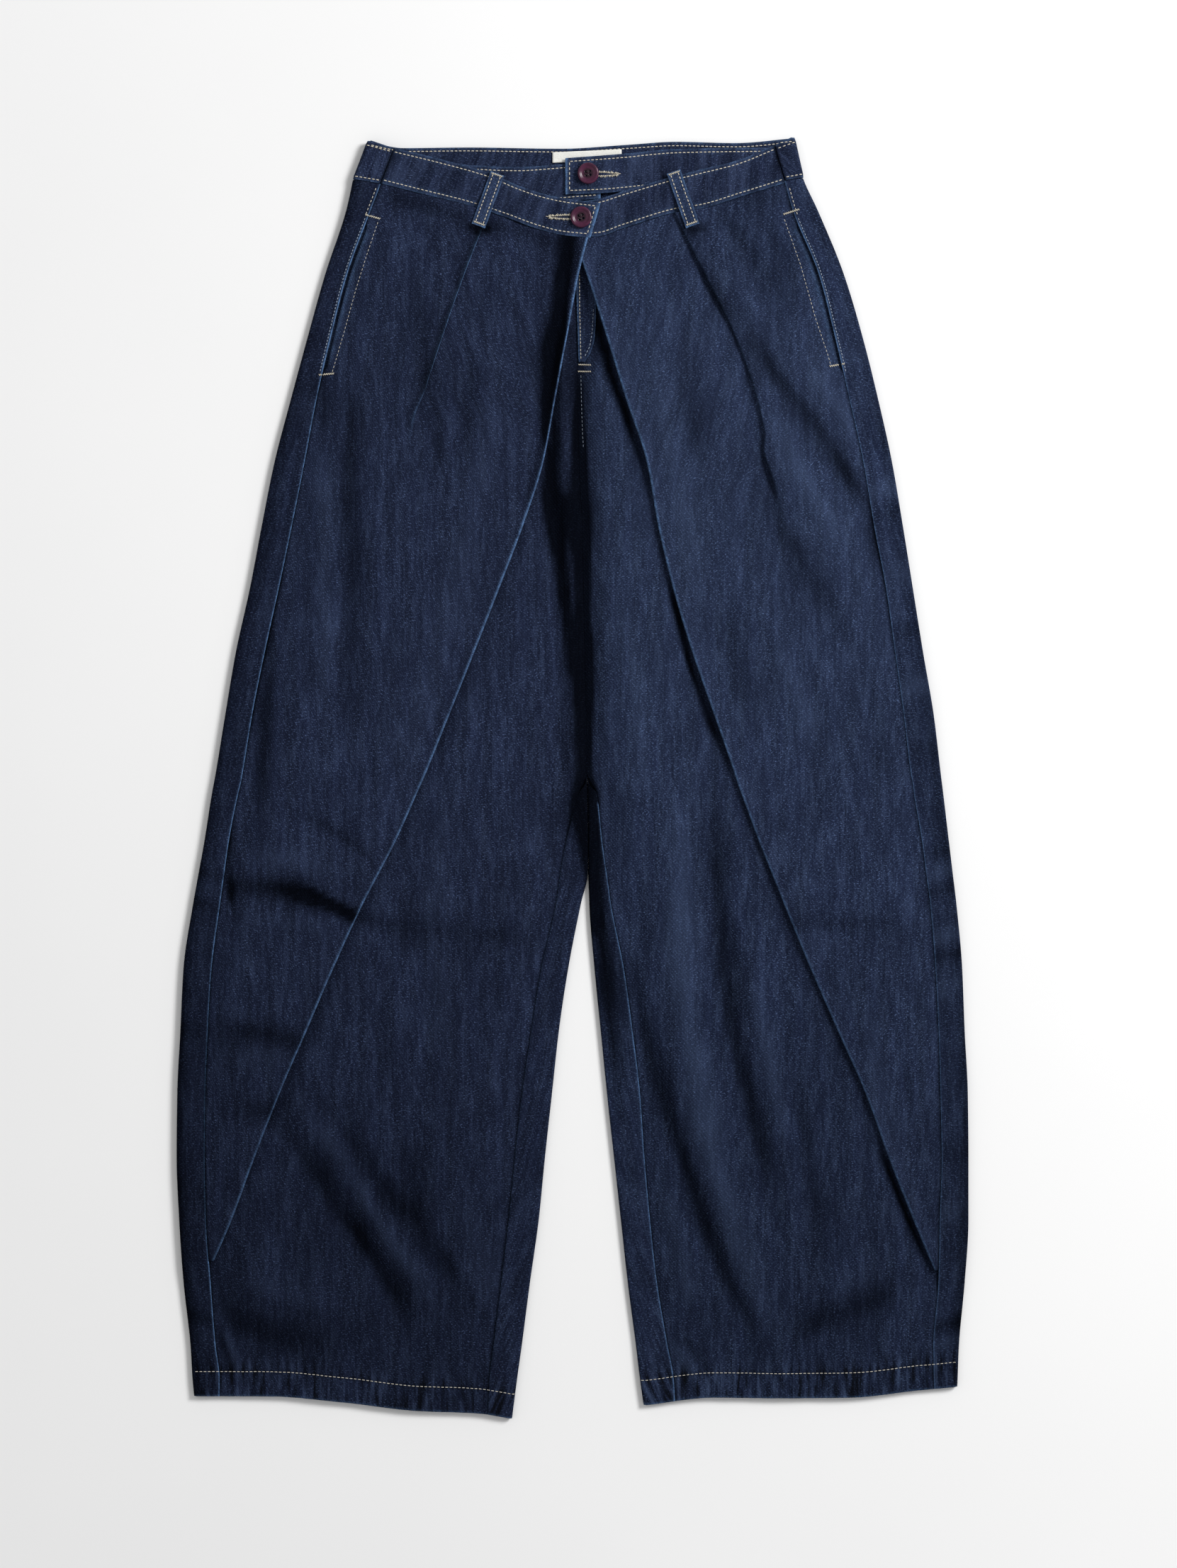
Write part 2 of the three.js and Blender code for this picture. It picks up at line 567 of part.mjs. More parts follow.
// An outer front: from the turned-in edge out to the diagonal fold, back over itself, through the
// tuck and on to the side seam.
function overlayPanel(leg) {
  const topStation = OVER_BAND;
  const top = (x) => leg.overBand(x) - EDGE_GAP;
  const stations = [topStation, ...TUCK_STATIONS];
  for (let v = 150; v > leg.tipY + TIP_STEP; v -= 50) stations.push(v);
  stations.push(leg.tipY + TIP_STEP, leg.tipY);
  const round = STEP / 2;
  const rows = stations.map((v) => {
    const put = (outward) => locate(leg, v, top, topStation, outward);
    const fold = (at) => leg.sign * leg.fold(at);
    const seam = (at) => leg.sign * leg.side(at) - EDGE_GAP - opening(at);
    const [, foldY] = put(fold);
    const width = seam(foldY) - fold(foldY);
    const turned = Math.min(TURN_IN, TURN_SHARE * width);
    const low = (x, y) => innerLevel(leg, x, y) + STEP + SLACK + lift(leg, x, y);
    const over = (x, y) => {
      const share = clamp((leg.sign * x - fold(y) - turned) / (seam(y) - fold(y) - turned));
      return mix(low(x, y) + STEP, sideLevel(leg, y), smooth(0, 1, share));
    };
    const crest = (at) => fold(at) + CLOTH / 2 + round;
    const points = [1, 0.5, 0].map((t) => {
      const [x, y] = put((at) => mix(crest(at), fold(at) + turned, t));
      return [x, y, low(x, y)];
    });
    const [, , foldLevel] = points[2];
    turn([0, foldLevel], Math.PI, -Math.PI, round, TURN_STEPS).forEach(([out, level]) =>
      points.push([...put((at) => crest(at) + out), level]),
    );

    const [, tuckY] = put((at) => leg.sign * leg.tuckEdge(at));
    const onTuck = smooth(leg.tuckStart - TUCK_JOIN, leg.tuckStart + TUCK_JOIN, tuckY);
    const tuck = tuckSection(leg, tuckY, width);
    const start = (at) => {
      const rest = mix(fold(at), seam(at), TUCK_REST);
      return mix(rest, leg.sign * leg.tuckEdge(at), onTuck) + tuck.under;
    };
    OVER_COLUMNS.forEach((t) => {
      const [x, y] = put((at) => mix(crest(at), start(at), t));
      points.push([x, y, over(x, y)]);
    });
    const [, , startLevel] = points[points.length - 1];
    tuck.points.forEach(([out, up]) =>
      points.push([...put((at) => start(at) + out), startLevel + up]),
    );
    const [endOut, rise] = tuck.end;
    const clear = tuck.radius + CLOTH;
    [0.25, 0.5, 0.75, 1].forEach((t) => {
      const [x, y] = put((at) => mix(start(at) + endOut, seam(at), t));
      const past = leg.sign * x - start(y);
      const room = seam(y) - start(y) - Math.max(0, -endOut) - clear;
      const sink = smooth(clear, clear + Math.min(SINK_LENGTH, room), past);
      points.push([x, y, over(x, y) + rise * (1 - sink)]);
    });
    return points;
  });
  return wall(rows, { flip: leg.sign });
}

function flyPlacket() {
  const rows = FLY.map(({ y, from, to }) =>
    range(5).map((j) => {
      const x = mix(from, to, j / 4);
      const leg = x < LEFT.inseam(y) ? LEFT : RIGHT;
      return [x, y, innerLevel(leg, x, y) + STEP];
    }),
  );
  return wall(rows);
}

// The strip in a side pocket's opening, just below the overlay and the side seam's flap.
function pocketFacing(leg) {
  const rows = FACING_STATIONS.map((y) =>
    FACING_COLUMNS.map((out) => [
      leg.side(y) + leg.sign * out,
      y,
      sideLevel(leg, y) - CLOTH / 2 - LAYER_GAP - THIN / 2,
    ]),
  );
  return wall(rows, { flip: leg.sign, outer: THIN / 2, inner: THIN / 2 });
}

// A waistband piece that runs along its table, from its top edge to its bottom edge.
function bandRows(line, steps) {
  const low = curve(line, "bottomX", "bottomY");
  const high = curve(line, "topX", "topY");
  const level = curve(line, "topX", "level");
  const [first, last] = [line[0], line[line.length - 1]];
  return [0, 0.5, 1].map((down) =>
    range(steps + 1).map((i) => {
      const topX = mix(first.topX, last.topX, i / steps);
      const lowX = mix(first.bottomX, last.bottomX, i / steps);
      return [mix(topX, lowX, down), mix(high(topX), low(lowX), down), level(topX)];
    }),
  );
}
const band = (line, steps) => wall(bandRows(line, steps), { outer: BAND / 2, inner: BAND / 2 });

function backBand() {
  const top = curve(BACK_TOP, "x", "y");
  const [left, right] = BACK_BAND_SIDES;
  const level = OUTER_LEFT[0].level;
  const round = (level - BACK_BAND) / 2;
  const rows = [0, 0.5, 1].map((down) => {
    const seam = (end) => mix(end.seamTopX, end.seamLowX, down) + end.side * EDGE_GAP;
    const brow = (end) => mix(end.edgeTopX, end.edgeLowX, down) - end.side * (round + BAND / 2);
    const lineY = (x, front) => mix(front ?? top(x), waistLine(x) + EDGE_GAP, down);
    const points = [];
    const wrap = (end) => {
      const flat = [0, 0.5, 1].map((t) => {
        const x = mix(seam(end), brow(end), t);
        return [x, lineY(x, mix(end.seamTopY, top(end.edgeTopX), t)), level];
      });
      const bent = turn([0, level], 0, -Math.PI, round, TURN_STEPS).map(([out, height]) => {
        const x = brow(end) + end.side * out;
        return [x, lineY(x), height];
      });
      return [...flat, ...bent];
    };
    points.push(...wrap(left));
    range(BAND_COLUMNS - 1).forEach((i) => {
      const x = mix(brow(left), brow(right), (i + 1) / BAND_COLUMNS);
      points.push([x, lineY(x), BACK_BAND]);
    });
    points.push(...wrap(right).reverse());
    return points;
  });
  return wall(rows, { flip: -1, outer: BAND / 2, inner: BAND / 2 });
}

function labelBlank() {
  const { x: left, topY, lowY, width } = LABEL_CORNER;
  const level = BACK_BAND + BAND / 2 + SEAM_GAP + THIN / 2;
  const rows = [topY, lowY].map((y) =>
    range(4).map((j) => [left + (width * j) / 3, y + (LABEL_SLANT * width * j) / 3, level]),
  );
  return wall(rows, { outer: THIN / 2, inner: THIN / 2 });
}

// A strip laid along a line, with its level at each share of its length.
function strip({ topX, topY, lowX, lowY }, levels) {
  const along = new THREE.Vector2(lowX - topX, lowY - topY).normalize();
  const rows = levels.map(({ share, level }) =>
    [-0.5, 0, 0.5].map((across) => [
      mix(topX, lowX, share) - along.y * across * LOOP_WIDTH,
      mix(topY, lowY, share) + along.x * across * LOOP_WIDTH,
      level,
    ]),
  );
  return wall(rows, { outer: THIN / 2, inner: THIN / 2 });
}

function button({ x, y, level }) {
  const outline = BUTTON_PROFILE.map(({ r, h }) => new THREE.Vector2(r, h));
  const body = new THREE.LatheGeometry(outline, BUTTON_FACETS).rotateX(Math.PI / 2);
  const holes = [45, 135, 225, 315].map((degrees) => {
    const angle = THREE.MathUtils.degToRad(degrees);
    const hole = new THREE.CylinderGeometry(HOLE_RADIUS, HOLE_RADIUS, 2 * BUTTON_HEIGHT, 8);
    hole.rotateX(Math.PI / 2);
    return hole.translate(HOLE_OFFSET * Math.cos(angle), HOLE_OFFSET * Math.sin(angle), 0);
  });
  const cut = holes.reduce((left, hole) => left.subtract(solid(hole)), solid(body));
  return geometryOf(cut).translate(x, y, level + BAND / 2 + SEAM_GAP + HALF_BUTTON);
}

const kernel = await Module();
kernel.setup();

function solid(geometry) {
  geometry.deleteAttribute("normal");
  geometry.deleteAttribute("uv");
  const merged = mergeVertices(geometry, 1e-4);
  const mesh = new kernel.Mesh({
    numProp: 3,
    vertProperties: merged.getAttribute("position").array,
    triVerts: new Uint32Array(merged.getIndex().array),
  });
  return new kernel.Manifold(mesh);
}

function geometryOf(body) {
  const mesh = body.getMesh();
  const geometry = new THREE.BufferGeometry();
  const points = new Float32Array(mesh.vertProperties);
  geometry.setAttribute("position", new THREE.BufferAttribute(points, 3));
  geometry.setIndex([...mesh.triVerts]);
  geometry.computeVertexNormals();
  return geometry;
}

const finish = (color, roughness) =>
  new THREE.MeshStandardMaterial({ color, roughness, metalness: 0, side: THREE.FrontSide });
const DENIM = { color: 0x1f2a4c, roughness: 0.85 };
const DENIM_WORN = { color: 0x35507e, roughness: 0.85 };
const LABEL_CLOTH = { color: 0xd9d6cc, roughness: 0.7 };
const BUTTON_RESIN = { color: 0x4a1a33, roughness: 0.25 };

const jeans = new THREE.Group();
function add(name, geometry, { color, roughness }) {
  const mesh = new THREE.Mesh(geometry, finish(color, roughness));
  mesh.name = name;
  jeans.add(mesh);
}

[["left", LEFT], ["right", RIGHT]].forEach(([name, leg]) => {
  add(`back_${name}`, backPanel(leg), DENIM);
  add(`front_${name}`, frontPanel(leg), DENIM);
  add(`front_overlay_${name}`, overlayPanel(leg), DENIM);
  add(`pocket_facing_${name}`, pocketFacing(leg), DENIM_WORN);
});
add("fly_placket", flyPlacket(), DENIM);
add("waistband_back", backBand(), DENIM);
add("waistband_outer_left", band(OUTER_LEFT, 14), DENIM);
add("waistband_outer_right", band(OUTER_RIGHT, 14), DENIM);
add("waistband_inner_left", band(INNER_LEFT, 12), DENIM);
add("waistband_inner_right", band(INNER_RIGHT, 12), DENIM);
add("label_blank", labelBlank(), LABEL_CLOTH);
BUTTONS.forEach((place) => add(place.name, button(place), BUTTON_RESIN));
FRONT_LOOPS.forEach((loop) => add(loop.name, strip(loop, FRONT_LOOP_LEVELS), DENIM));
BACK_LOOPS.forEach(({ name, x }) => {
  const lowY = WAIST_LINE + 1;
  const ends = { topX: x, topY: lowY + BACK_LOOP_LENGTH, lowX: x, lowY };
  add(name, strip(ends, BACK_LOOP_LEVELS), DENIM);
});

export default jeans;
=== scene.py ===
import math
import bpy
import bmesh
import numpy as np
from mathutils import Matrix, Vector
from mathutils.bvhtree import BVHTree


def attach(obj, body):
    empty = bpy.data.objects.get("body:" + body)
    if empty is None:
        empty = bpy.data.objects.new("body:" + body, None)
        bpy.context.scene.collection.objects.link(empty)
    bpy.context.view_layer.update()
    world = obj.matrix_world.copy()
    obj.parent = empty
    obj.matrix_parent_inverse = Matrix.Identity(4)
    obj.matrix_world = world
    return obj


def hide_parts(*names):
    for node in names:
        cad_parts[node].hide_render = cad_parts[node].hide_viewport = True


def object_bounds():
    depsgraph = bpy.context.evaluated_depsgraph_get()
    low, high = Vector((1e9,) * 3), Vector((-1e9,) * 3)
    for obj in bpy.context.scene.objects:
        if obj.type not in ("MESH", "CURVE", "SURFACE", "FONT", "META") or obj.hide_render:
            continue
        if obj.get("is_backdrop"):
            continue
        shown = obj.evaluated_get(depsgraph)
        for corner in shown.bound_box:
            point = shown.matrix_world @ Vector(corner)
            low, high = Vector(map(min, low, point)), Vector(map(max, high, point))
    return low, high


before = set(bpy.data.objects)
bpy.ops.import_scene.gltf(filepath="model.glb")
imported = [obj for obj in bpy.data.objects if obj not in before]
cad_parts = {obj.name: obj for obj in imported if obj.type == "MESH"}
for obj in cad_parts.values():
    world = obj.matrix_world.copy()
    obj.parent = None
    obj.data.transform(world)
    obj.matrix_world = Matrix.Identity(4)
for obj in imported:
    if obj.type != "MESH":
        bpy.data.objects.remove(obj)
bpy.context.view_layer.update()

# All sizes below are millimetres in the part's frame: +Y to the waist, +Z up, left is -X.
MM = 0.001
TINY = 1e-9
CLOTH = 1.1  # one ply of denim
RIM = 0.35  # how round the cloth's cut edges are
STEP = 1.6  # height of a ply above the one under it
HEM_DEPTH = 20.0
TURN_IN = 40.0
TURN_STEPS = 8  # points along a fold's bend
CROTCH = 4.0
WAIST_LINE, FRONT_TOP, OVERLAY_TOP = 470.5, 460.0, 450.0
TOP_ZONE, HEM_ZONE = 130, 120  # where the sections bend towards the waist and the hem
ROLL_DEPTH, FLAT_ROLL = 16.0, 0.15  # the inner edge's roll: its start below the crotch, least angle
TIP_FADE = 25.0
BAND_GAP = 0.6
FACING_HALF, FACING_GAP = 0.4, 0.5
LOOP_WIDTH, LOOP_SEAM = 11.0, 3.2
PITCH, STITCH, THREAD = 3.3, 2.3, 0.37  # stitches: spacing, length and radius
LENS, VIEW_HEIGHT = 100, 1.24425  # the camera's, in millimetres and in metres

# Levels over the ground: back panels, inner fronts at their inner edge, inseams, side seams, hems,
# the rise towards the waist, and the lowest that a crease of the fronts reaches.
BACK, INNER, INSEAM, SIDE, HEM_LEVEL, WAIST_RISE, LOWEST = 0.85, 2.7, 3.6, 5.6, 4.3, 1.0, 2.35

# Lines of each leg at a height y: outline, side seam, diagonal fold, inseam and inner outline.
LEFT_LINES = [
    (485, -172, -149, 26, 4, 4), (475, -174, -151, 24, 4, 4), (450, -179.5, -160, 18.5, 4, 4),
    (400, -196, -178.5, 5.5, 4, 4), (350, -210, -191.5, -4, 4, 4), (300, -223.5, -203, -13.5, 4, 4),
    (250, -236.5, -212.5, -23, 5, 5), (200, -246.5, -222.5, -39, 7.5, 7.5),
    (150, -256, -233, -58, 8.5, 8.5), (100, -267, -244, -77.5, 9.5, 9.5),
    (50, -275.5, -254, -97.5, 10.5, 10.5), (4, -283, -261.5, -116, 11.5, 11.5),
    (-4, -284.5, -263, -119.5, 8, 11.5), (-12, -286, -265, -123, 5, 11.8),
    (-50, -292, -272.5, -140, -5.5, 12.4), (-75, -296.5, -276, -153, -9.8, 12.2),
    (-100, -301, -279.5, -166, -13.5, 6.8),
    (-150, -308.5, -286, -189, -25, -3), (-200, -311, -289, -210.5, -33, -10.5),
    (-250, -313.5, -291, -232, -40.5, -16), (-300, -314, -291.5, -251.5, -46, -21.5),
    (-350, -312, -290.5, -270, -51, -26.5), (-400, -308.5, -287, -292, -57, -33.5),
    (-450, -303, -283, -312, -63, -40), (-475, -301.5, -280, -322, -66, -43.5),
    (-510, -298, -280, -330, -67.5, -48),
]
RIGHT_LINES = [
    (485, 180, 165, -24, 4, 4), (475, 183, 167.5, -20, 4, 4), (450, 194.5, 174.5, -10, 4, 4),
    (400, 215, 195, 10.5, 4, 4), (350, 230, 208, 26.5, 4, 4), (300, 242.5, 219.5, 42, 4, 4),
    (250, 253.5, 230.5, 58.5, 5, 5), (200, 262, 239, 67.5, 7.5, 7.5),
    (150, 270, 248.5, 79.5, 8.5, 8.5), (100, 278, 255.5, 94.5, 9.5, 9.5),
    (50, 286.5, 262.5, 112, 10.5, 10.5), (4, 292, 268, 128, 11.5, 11.5),
    (-4, 293, 269.5, 130.5, 15.2, 11.5), (-12, 294, 270.5, 133.5, 19, 11.8),
    (-50, 298.5, 277, 147.5, 23.5, 12.4), (-75, 301.5, 280.2, 157.5, 27, 12.4),
    (-100, 304.5, 283.5, 167.5, 30.5, 13.0),
    (-150, 309, 287.5, 188, 40.5, 17), (-200, 311, 290, 210, 47.5, 22),
    (-250, 313.5, 291.5, 232, 53.5, 27), (-300, 314, 292.5, 250, 57, 32.5),
    (-350, 314, 291, 270, 61.5, 38), (-400, 311, 290, 291, 67, 43.5),
    (-450, 306.5, 286, 311, 75.5, 50), (-475, 305.5, 286.5, 321, 80, 53),
    (-510, 304, 289, 330, 82, 58),
]
# The small tucks: height, edge and depth of the fold.
LEFT_TUCK = [(475, -58, 16), (450, -66, 16), (400, -85, 13), (350, -102.5, 7), (315, -114, 1)]
RIGHT_TUCK = [(475, 71, 16), (450, 80, 16), (400, 104, 14), (350, 128.5, 10), (300, 146, 5),
              (265, 154, 1)]
LEFT_HEM = [(-299, -489.5), (-242, -489.5), (-180, -494.5), (-124, -501), (-76, -503),
            (-48, -507.4)]
RIGHT_HEM = [(59, -496.5), (112, -490.5), (166, -491), (220, -490.5), (273, -485), (305, -482)]
# Waistbands: top x and y, bottom x and y, level of the middle.
OUTER_LEFT = [(-141.3, 499, -152, 471.2, 7.1), (-104, 490, -121.5, 463.5, 7.2),
              (-64, 478.5, -81.5, 453.5, 7.4), (-44, 469.5, -52, 444, 8.2),
              (-24, 462.5, -30, 435.5, 10.2), (-6, 458.5, -10, 430, 11.6),
              (22, 455, 14, 427.5, 11.6)]
OUTER_RIGHT = [(1, 456, 1, 430, 8.9), (18, 458, 18, 428.8, 8.9), (41.5, 465, 41.5, 436, 8.9),
               (74, 474.8, 81.5, 448.3, 7.5), (99.5, 481.5, 103, 451.5, 7.3),
               (129.5, 488.8, 134, 461, 7.2), (159.8, 501.2, 168, 471.4, 7.1)]
INNER_LEFT = [(-139, 496, -149, 470, 4.7), (-121.5, 492.5, -128, 463, 4.7),
              (-84, 486, -86, 456, 4.7), (-44, 484.3, -44, 454.5, 4.7), (-9, 486.5, -9, 457, 4.7),
              (22, 489, 22, 459.5, 4.7)]
INNER_RIGHT = [(-5.5, 491, -5.5, 462.4, 7.1), (22, 493, 22, 463.4, 7.1), (45, 495, 45, 465.5, 5.9),
               (62, 497, 62, 467.5, 4.9), (80, 498.4, 81, 469, 4.8), (120, 499.3, 124, 470, 4.7),
               (156.5, 499.6, 165, 471, 4.7)]
FRONT_RIGHT_TOP = [(4, 457), (28, 458.3), (52, 466), (81, 469), (124, 470), (165, 471)]
BACK_TOP = [(-163, 505), (-134, 499.5), (-82, 500), (-9, 499), (42, 502), (82, 504.5),
            (129, 503.5), (176, 507.4)]
# Ends of the back waistband: side, seam top x and y, edge top x, seam low x, edge low x.
BAND_SIDES = [(-1, -141.3, 499, -163, -152, -174.5), (1, 159.8, 501.2, 176.5, 168, 183.5)]
FLY = [(455, 2.8, 18.6), (430, 2.8, 18.6), (400, 2.8, 18.6), (370, 3.5, 18.6), (350, 4.3, 17.6),
       (338, 4.6, 14.5), (330, 5, 9.5)]
# Belt loops: side, top and bottom, and the levels of the front ones by shares of their length.
FRONT_LOOPS = [("left", (-59.5, 478.5), (-74.5, 437)), ("right", (80, 480), (95, 437))]
FRONT_LEVELS = [(0, 9.6), (0.1, 9.6), (0.42, 9.8), (0.6, 11.4), (0.8, 11.8), (1, 11.6)]
BACK_LOOPS = [("left", -92), ("centre", 4), ("right", 104)]
# A button's outline from its back to its dish: radius, and height over its middle.
BUTTON_HALF, BUTTON_FACETS = 1.4, 72
BUTTON_OUTLINE = [
    (0.0, -BUTTON_HALF), (5.6, -BUTTON_HALF), (7.4, -1.15), (8.2, -0.7), (8.5, -0.1), (8.45, 0.45),
    (8.2, 0.95), (7.8, 1.28), (7.3, BUTTON_HALF), (6.8, 1.34), (6.3, 1.12), (5.8, 0.78), (5.2, 0.5),
    (4.4, 0.34), (3.2, 0.26), (1.6, 0.24), (0.0, 0.24),
]
HOLE_RADIUS, HOLE_REACH = 0.95, 2.1

# Creases, given one by one: depth (below 0 a hollow), half width, and the line that each follows.
CREASES = [
    # left leg, outer front
    (-1.8, 6, [(-1, 436), (-5, 400), (-10, 350), (-16, 300), (-19, 262)]),
    (-1.0, 8, [(-94, 420), (-108, 380), (-116, 345), (-122, 305), (-108, 270), (-107, 235)]),
    (-2.4, 8, [(-172, 306), (-175, 270), (-176, 232)]),
    (-1.7, 10, [(-176, 236), (-174, 170), (-177, 110), (-182, 30)]),
    (1.6, 10, [(-205, 268), (-197, 200), (-194, 110), (-200, 40)]),
    (-0.5, 4, [(-176, 229), (-130, 228), (-60, 222)]),
    (1.0, 12, [(-62, 330), (-78, 210), (-110, 90), (-142, -20)]),
    (-1.0, 8, [(-62, 420), (-80, 330), (-92, 260)]),
    (-1.4, 8, [(-230, 190), (-238, 120), (-243, 60), (-244, 0), (-253, -44)]),
    (-1.0, 4, [(-214, -30), (-196, -38), (-178, -50), (-160, -64)]),
    (1.2, 9, [(-258, -62), (-220, -64), (-188, -76)]),
    (-3.2, 7, [(-266, -84), (-232, -86), (-210, -91), (-188, -102), (-166, -111), (-146, -118)]),
    (1.0, 8, [(-252, -112), (-214, -114), (-184, -130)]),
    (-0.9, 5, [(-140, -118), (-100, -123), (-60, -124), (-38, -131), (-14, -140)]),
    (-1.8, 8, [(-278, -200), (-240, -201), (-208, -208)]),
    (1.2, 7, [(-276, -222), (-246, -220), (-220, -226)]),
    (-1.2, 9, [(-262, -262), (-240, -262), (-222, -250)]),
    # left leg, inner front
    (-2.8, 11, [(-240, -268), (-215, -296), (-190, -331), (-170, -361), (-150, -392), (-136, -416),
                (-122, -446)]),
    (2.4, 8, [(-216, -256), (-190, -291), (-165, -331), (-148, -362), (-124, -394), (-103, -430)]),
    (-1.9, 10, [(-208, -236), (-188, -267), (-164, -298), (-143, -331), (-118, -354), (-95, -392),
                (-76, -426)]),
    (-1.0, 7, [(-132, -290), (-126, -320), (-124, -352)]),
    (1.0, 10, [(-92, -330), (-72, -376), (-60, -420)]),
    (-1.0, 14, [(-286, -400), (-266, -430), (-236, -442), (-196, -446), (-172, -452)]),
    (1.1, 9, [(-262, -398), (-226, -410), (-190, -420)]),
    (-3.5, 3.2, [(-282, -436), (-276, -456), (-272, -474)]),
    (3.2, 3.6, [(-277, -434), (-269, -458), (-262, -474)]),
    (2.4, 4, [(78, -446), (88, -462), (96, -474)]),
    (-2.4, 4, [(86, -440), (98, -458), (108, -472)]),
    (-0.9, 9, [(-40, -40), (-56, -130), (-66, -220)]),
    (0.8, 11, [(-104, -30), (-108, -130), (-98, -230)]),
    (-0.8, 9, [(-150, -150), (-152, -200), (-146, -250)]),
    (-2.0, 6, [(-15, 274), (-17, 228), (-14, 200), (-8, 150), (-2, 104)]),
    # right leg, outer front
    (-1.6, 5, [(88, 432), (98, 408), (112, 382), (126, 358)]),
    (-1.8, 6, [(131, 340), (143, 292), (152, 246), (162, 206)]),
    (-3.0, 8, [(138, 360), (159, 320), (187, 286), (215, 246), (240, 206)]),
    (-1.5, 6, [(117, 448), (140, 418), (154, 400), (168, 370)]),
    (-0.9, 6, [(150, 440), (168, 410), (180, 384)]),
    (1.8, 10, [(152, 300), (172, 258), (192, 222), (214, 190)]),
    (1.4, 8, [(182, 330), (206, 298), (230, 262)]),
    (-1.3, 8, [(166, 206), (184, 162), (212, 124), (224, 100)]),
    (-1.2, 11, [(98, 330), (96, 290), (88, 246)]),
    (1.3, 10, [(66, 330), (76, 268), (86, 200), (100, 130)]),
    (-1.0, 12, [(128, 140), (130, 100), (136, 50)]),
    (1.2, 9, [(160, 110), (176, 66), (192, 26)]),
    (-0.9, 7, [(200, 40), (222, 0), (226, -40)]),
    (-0.8, 2.4, [(165, -75), (205, -75), (244, -76)]),
    (-0.9, 5, [(150, -121), (200, -117), (250, -116), (266, -132)]),
    (-1.4, 4, [(240, 206), (245, 176), (252, 146), (258, 112)]),
    (-1.0, 8, [(204, -176), (208, -250), (211, -330), (214, -380)]),
    (1.0, 10, [(232, -170), (238, -250), (246, -320)]),
    # right leg, inner front
    (-3.0, 8, [(46, -150), (62, -220), (75, -260), (88, -301), (105, -351), (125, -401), (146, -442),
               (154, -462)]),
    (-3.0, 9, [(110, 16), (113, -50), (117, -100), (120, -150), (127, -200), (136, -242), (150, -292),
               (160, -352)]),
    (2.4, 11, [(86, 0), (85, -90), (87, -160), (96, -225), (110, -300), (130, -362), (152, -434)]),
    (1.6, 8, [(142, -150), (154, -215), (167, -300)]),
    (1.2, 9, [(66, -300), (80, -360), (96, -430)]),
    (-1.4, 9, [(262, -402), (232, -418), (202, -428), (176, -446)]),
    (-1.0, 8, [(176, -230), (190, -310), (196, -380)]),
    (-1.5, 5, [(6, 404), (24, 348), (40, 296), (56, 244)]),
    (1.2, 8, [(40, 150), (52, 60), (56, -30)]),
    (-1.3, 5, [(72, 172), (90, 96), (104, 52), (120, 16)]),
    (-1.2, 4, [(243, -292), (268, -356), (286, -396)]),
]
# Places that little light reaches, where plies lie close: strength, half width and line.
VALLEY = [
    (2.2, 7.5, [(5, 352), (7, 250), (8, 200), (10, 150), (10.5, 50), (10, 0), (13, -40), (16, -75),
                (19, -118)]),
    (0.6, 6, [(14, -50), (22, -120), (29, -180), (38, -250)]),
    (1.6, 7, [(-12, 300), (-16, 250), (-17, 225), (-14, 196), (-8, 150), (-1, 90)]),
    (0.8, 4.5, [(8, 408), (24, 346), (30, 320), (42, 290), (50, 262), (59, 236)]),
    (0.7, 4, [(74, 168), (92, 92), (106, 48), (124, 8)]),
    (0.8, 3, [(240, -286), (262, -340), (284, -392)]),
    (0.35, 9, [(-4, 60), (-2, 0), (-14, -70)]),
    (0.24, 15, [(-242, -262), (-213, -300), (-188, -336), (-166, -366), (-144, -398), (-122, -440)]),
    (0.22, 11, [(-200, -258), (-164, -305), (-140, -338), (-112, -366), (-90, -400), (-70, -440)]),
    (0.30, 17, [(-290, -398), (-264, -430), (-232, -444), (-184, -450)]),
    (0.30, 15, [(-160, -116), (-100, -124), (-30, -128)]),
    (0.25, 11, [(-124, -280), (-120, -330), (-116, -360)]),
    (0.30, 10, [(42, -136), (62, -220), (75, -260), (88, -301), (105, -351), (125, -401), (150, -456)]),
    (0.30, 11, [(108, 40), (113, -50), (117, -100), (120, -150), (127, -200), (136, -242),
                (150, -292), (170, -366)]),
    (0.28, 15, [(270, -392), (228, -416), (198, -428), (156, -444)]),
    (0.25, 11, [(172, -210), (190, -310), (198, -400)]),
]
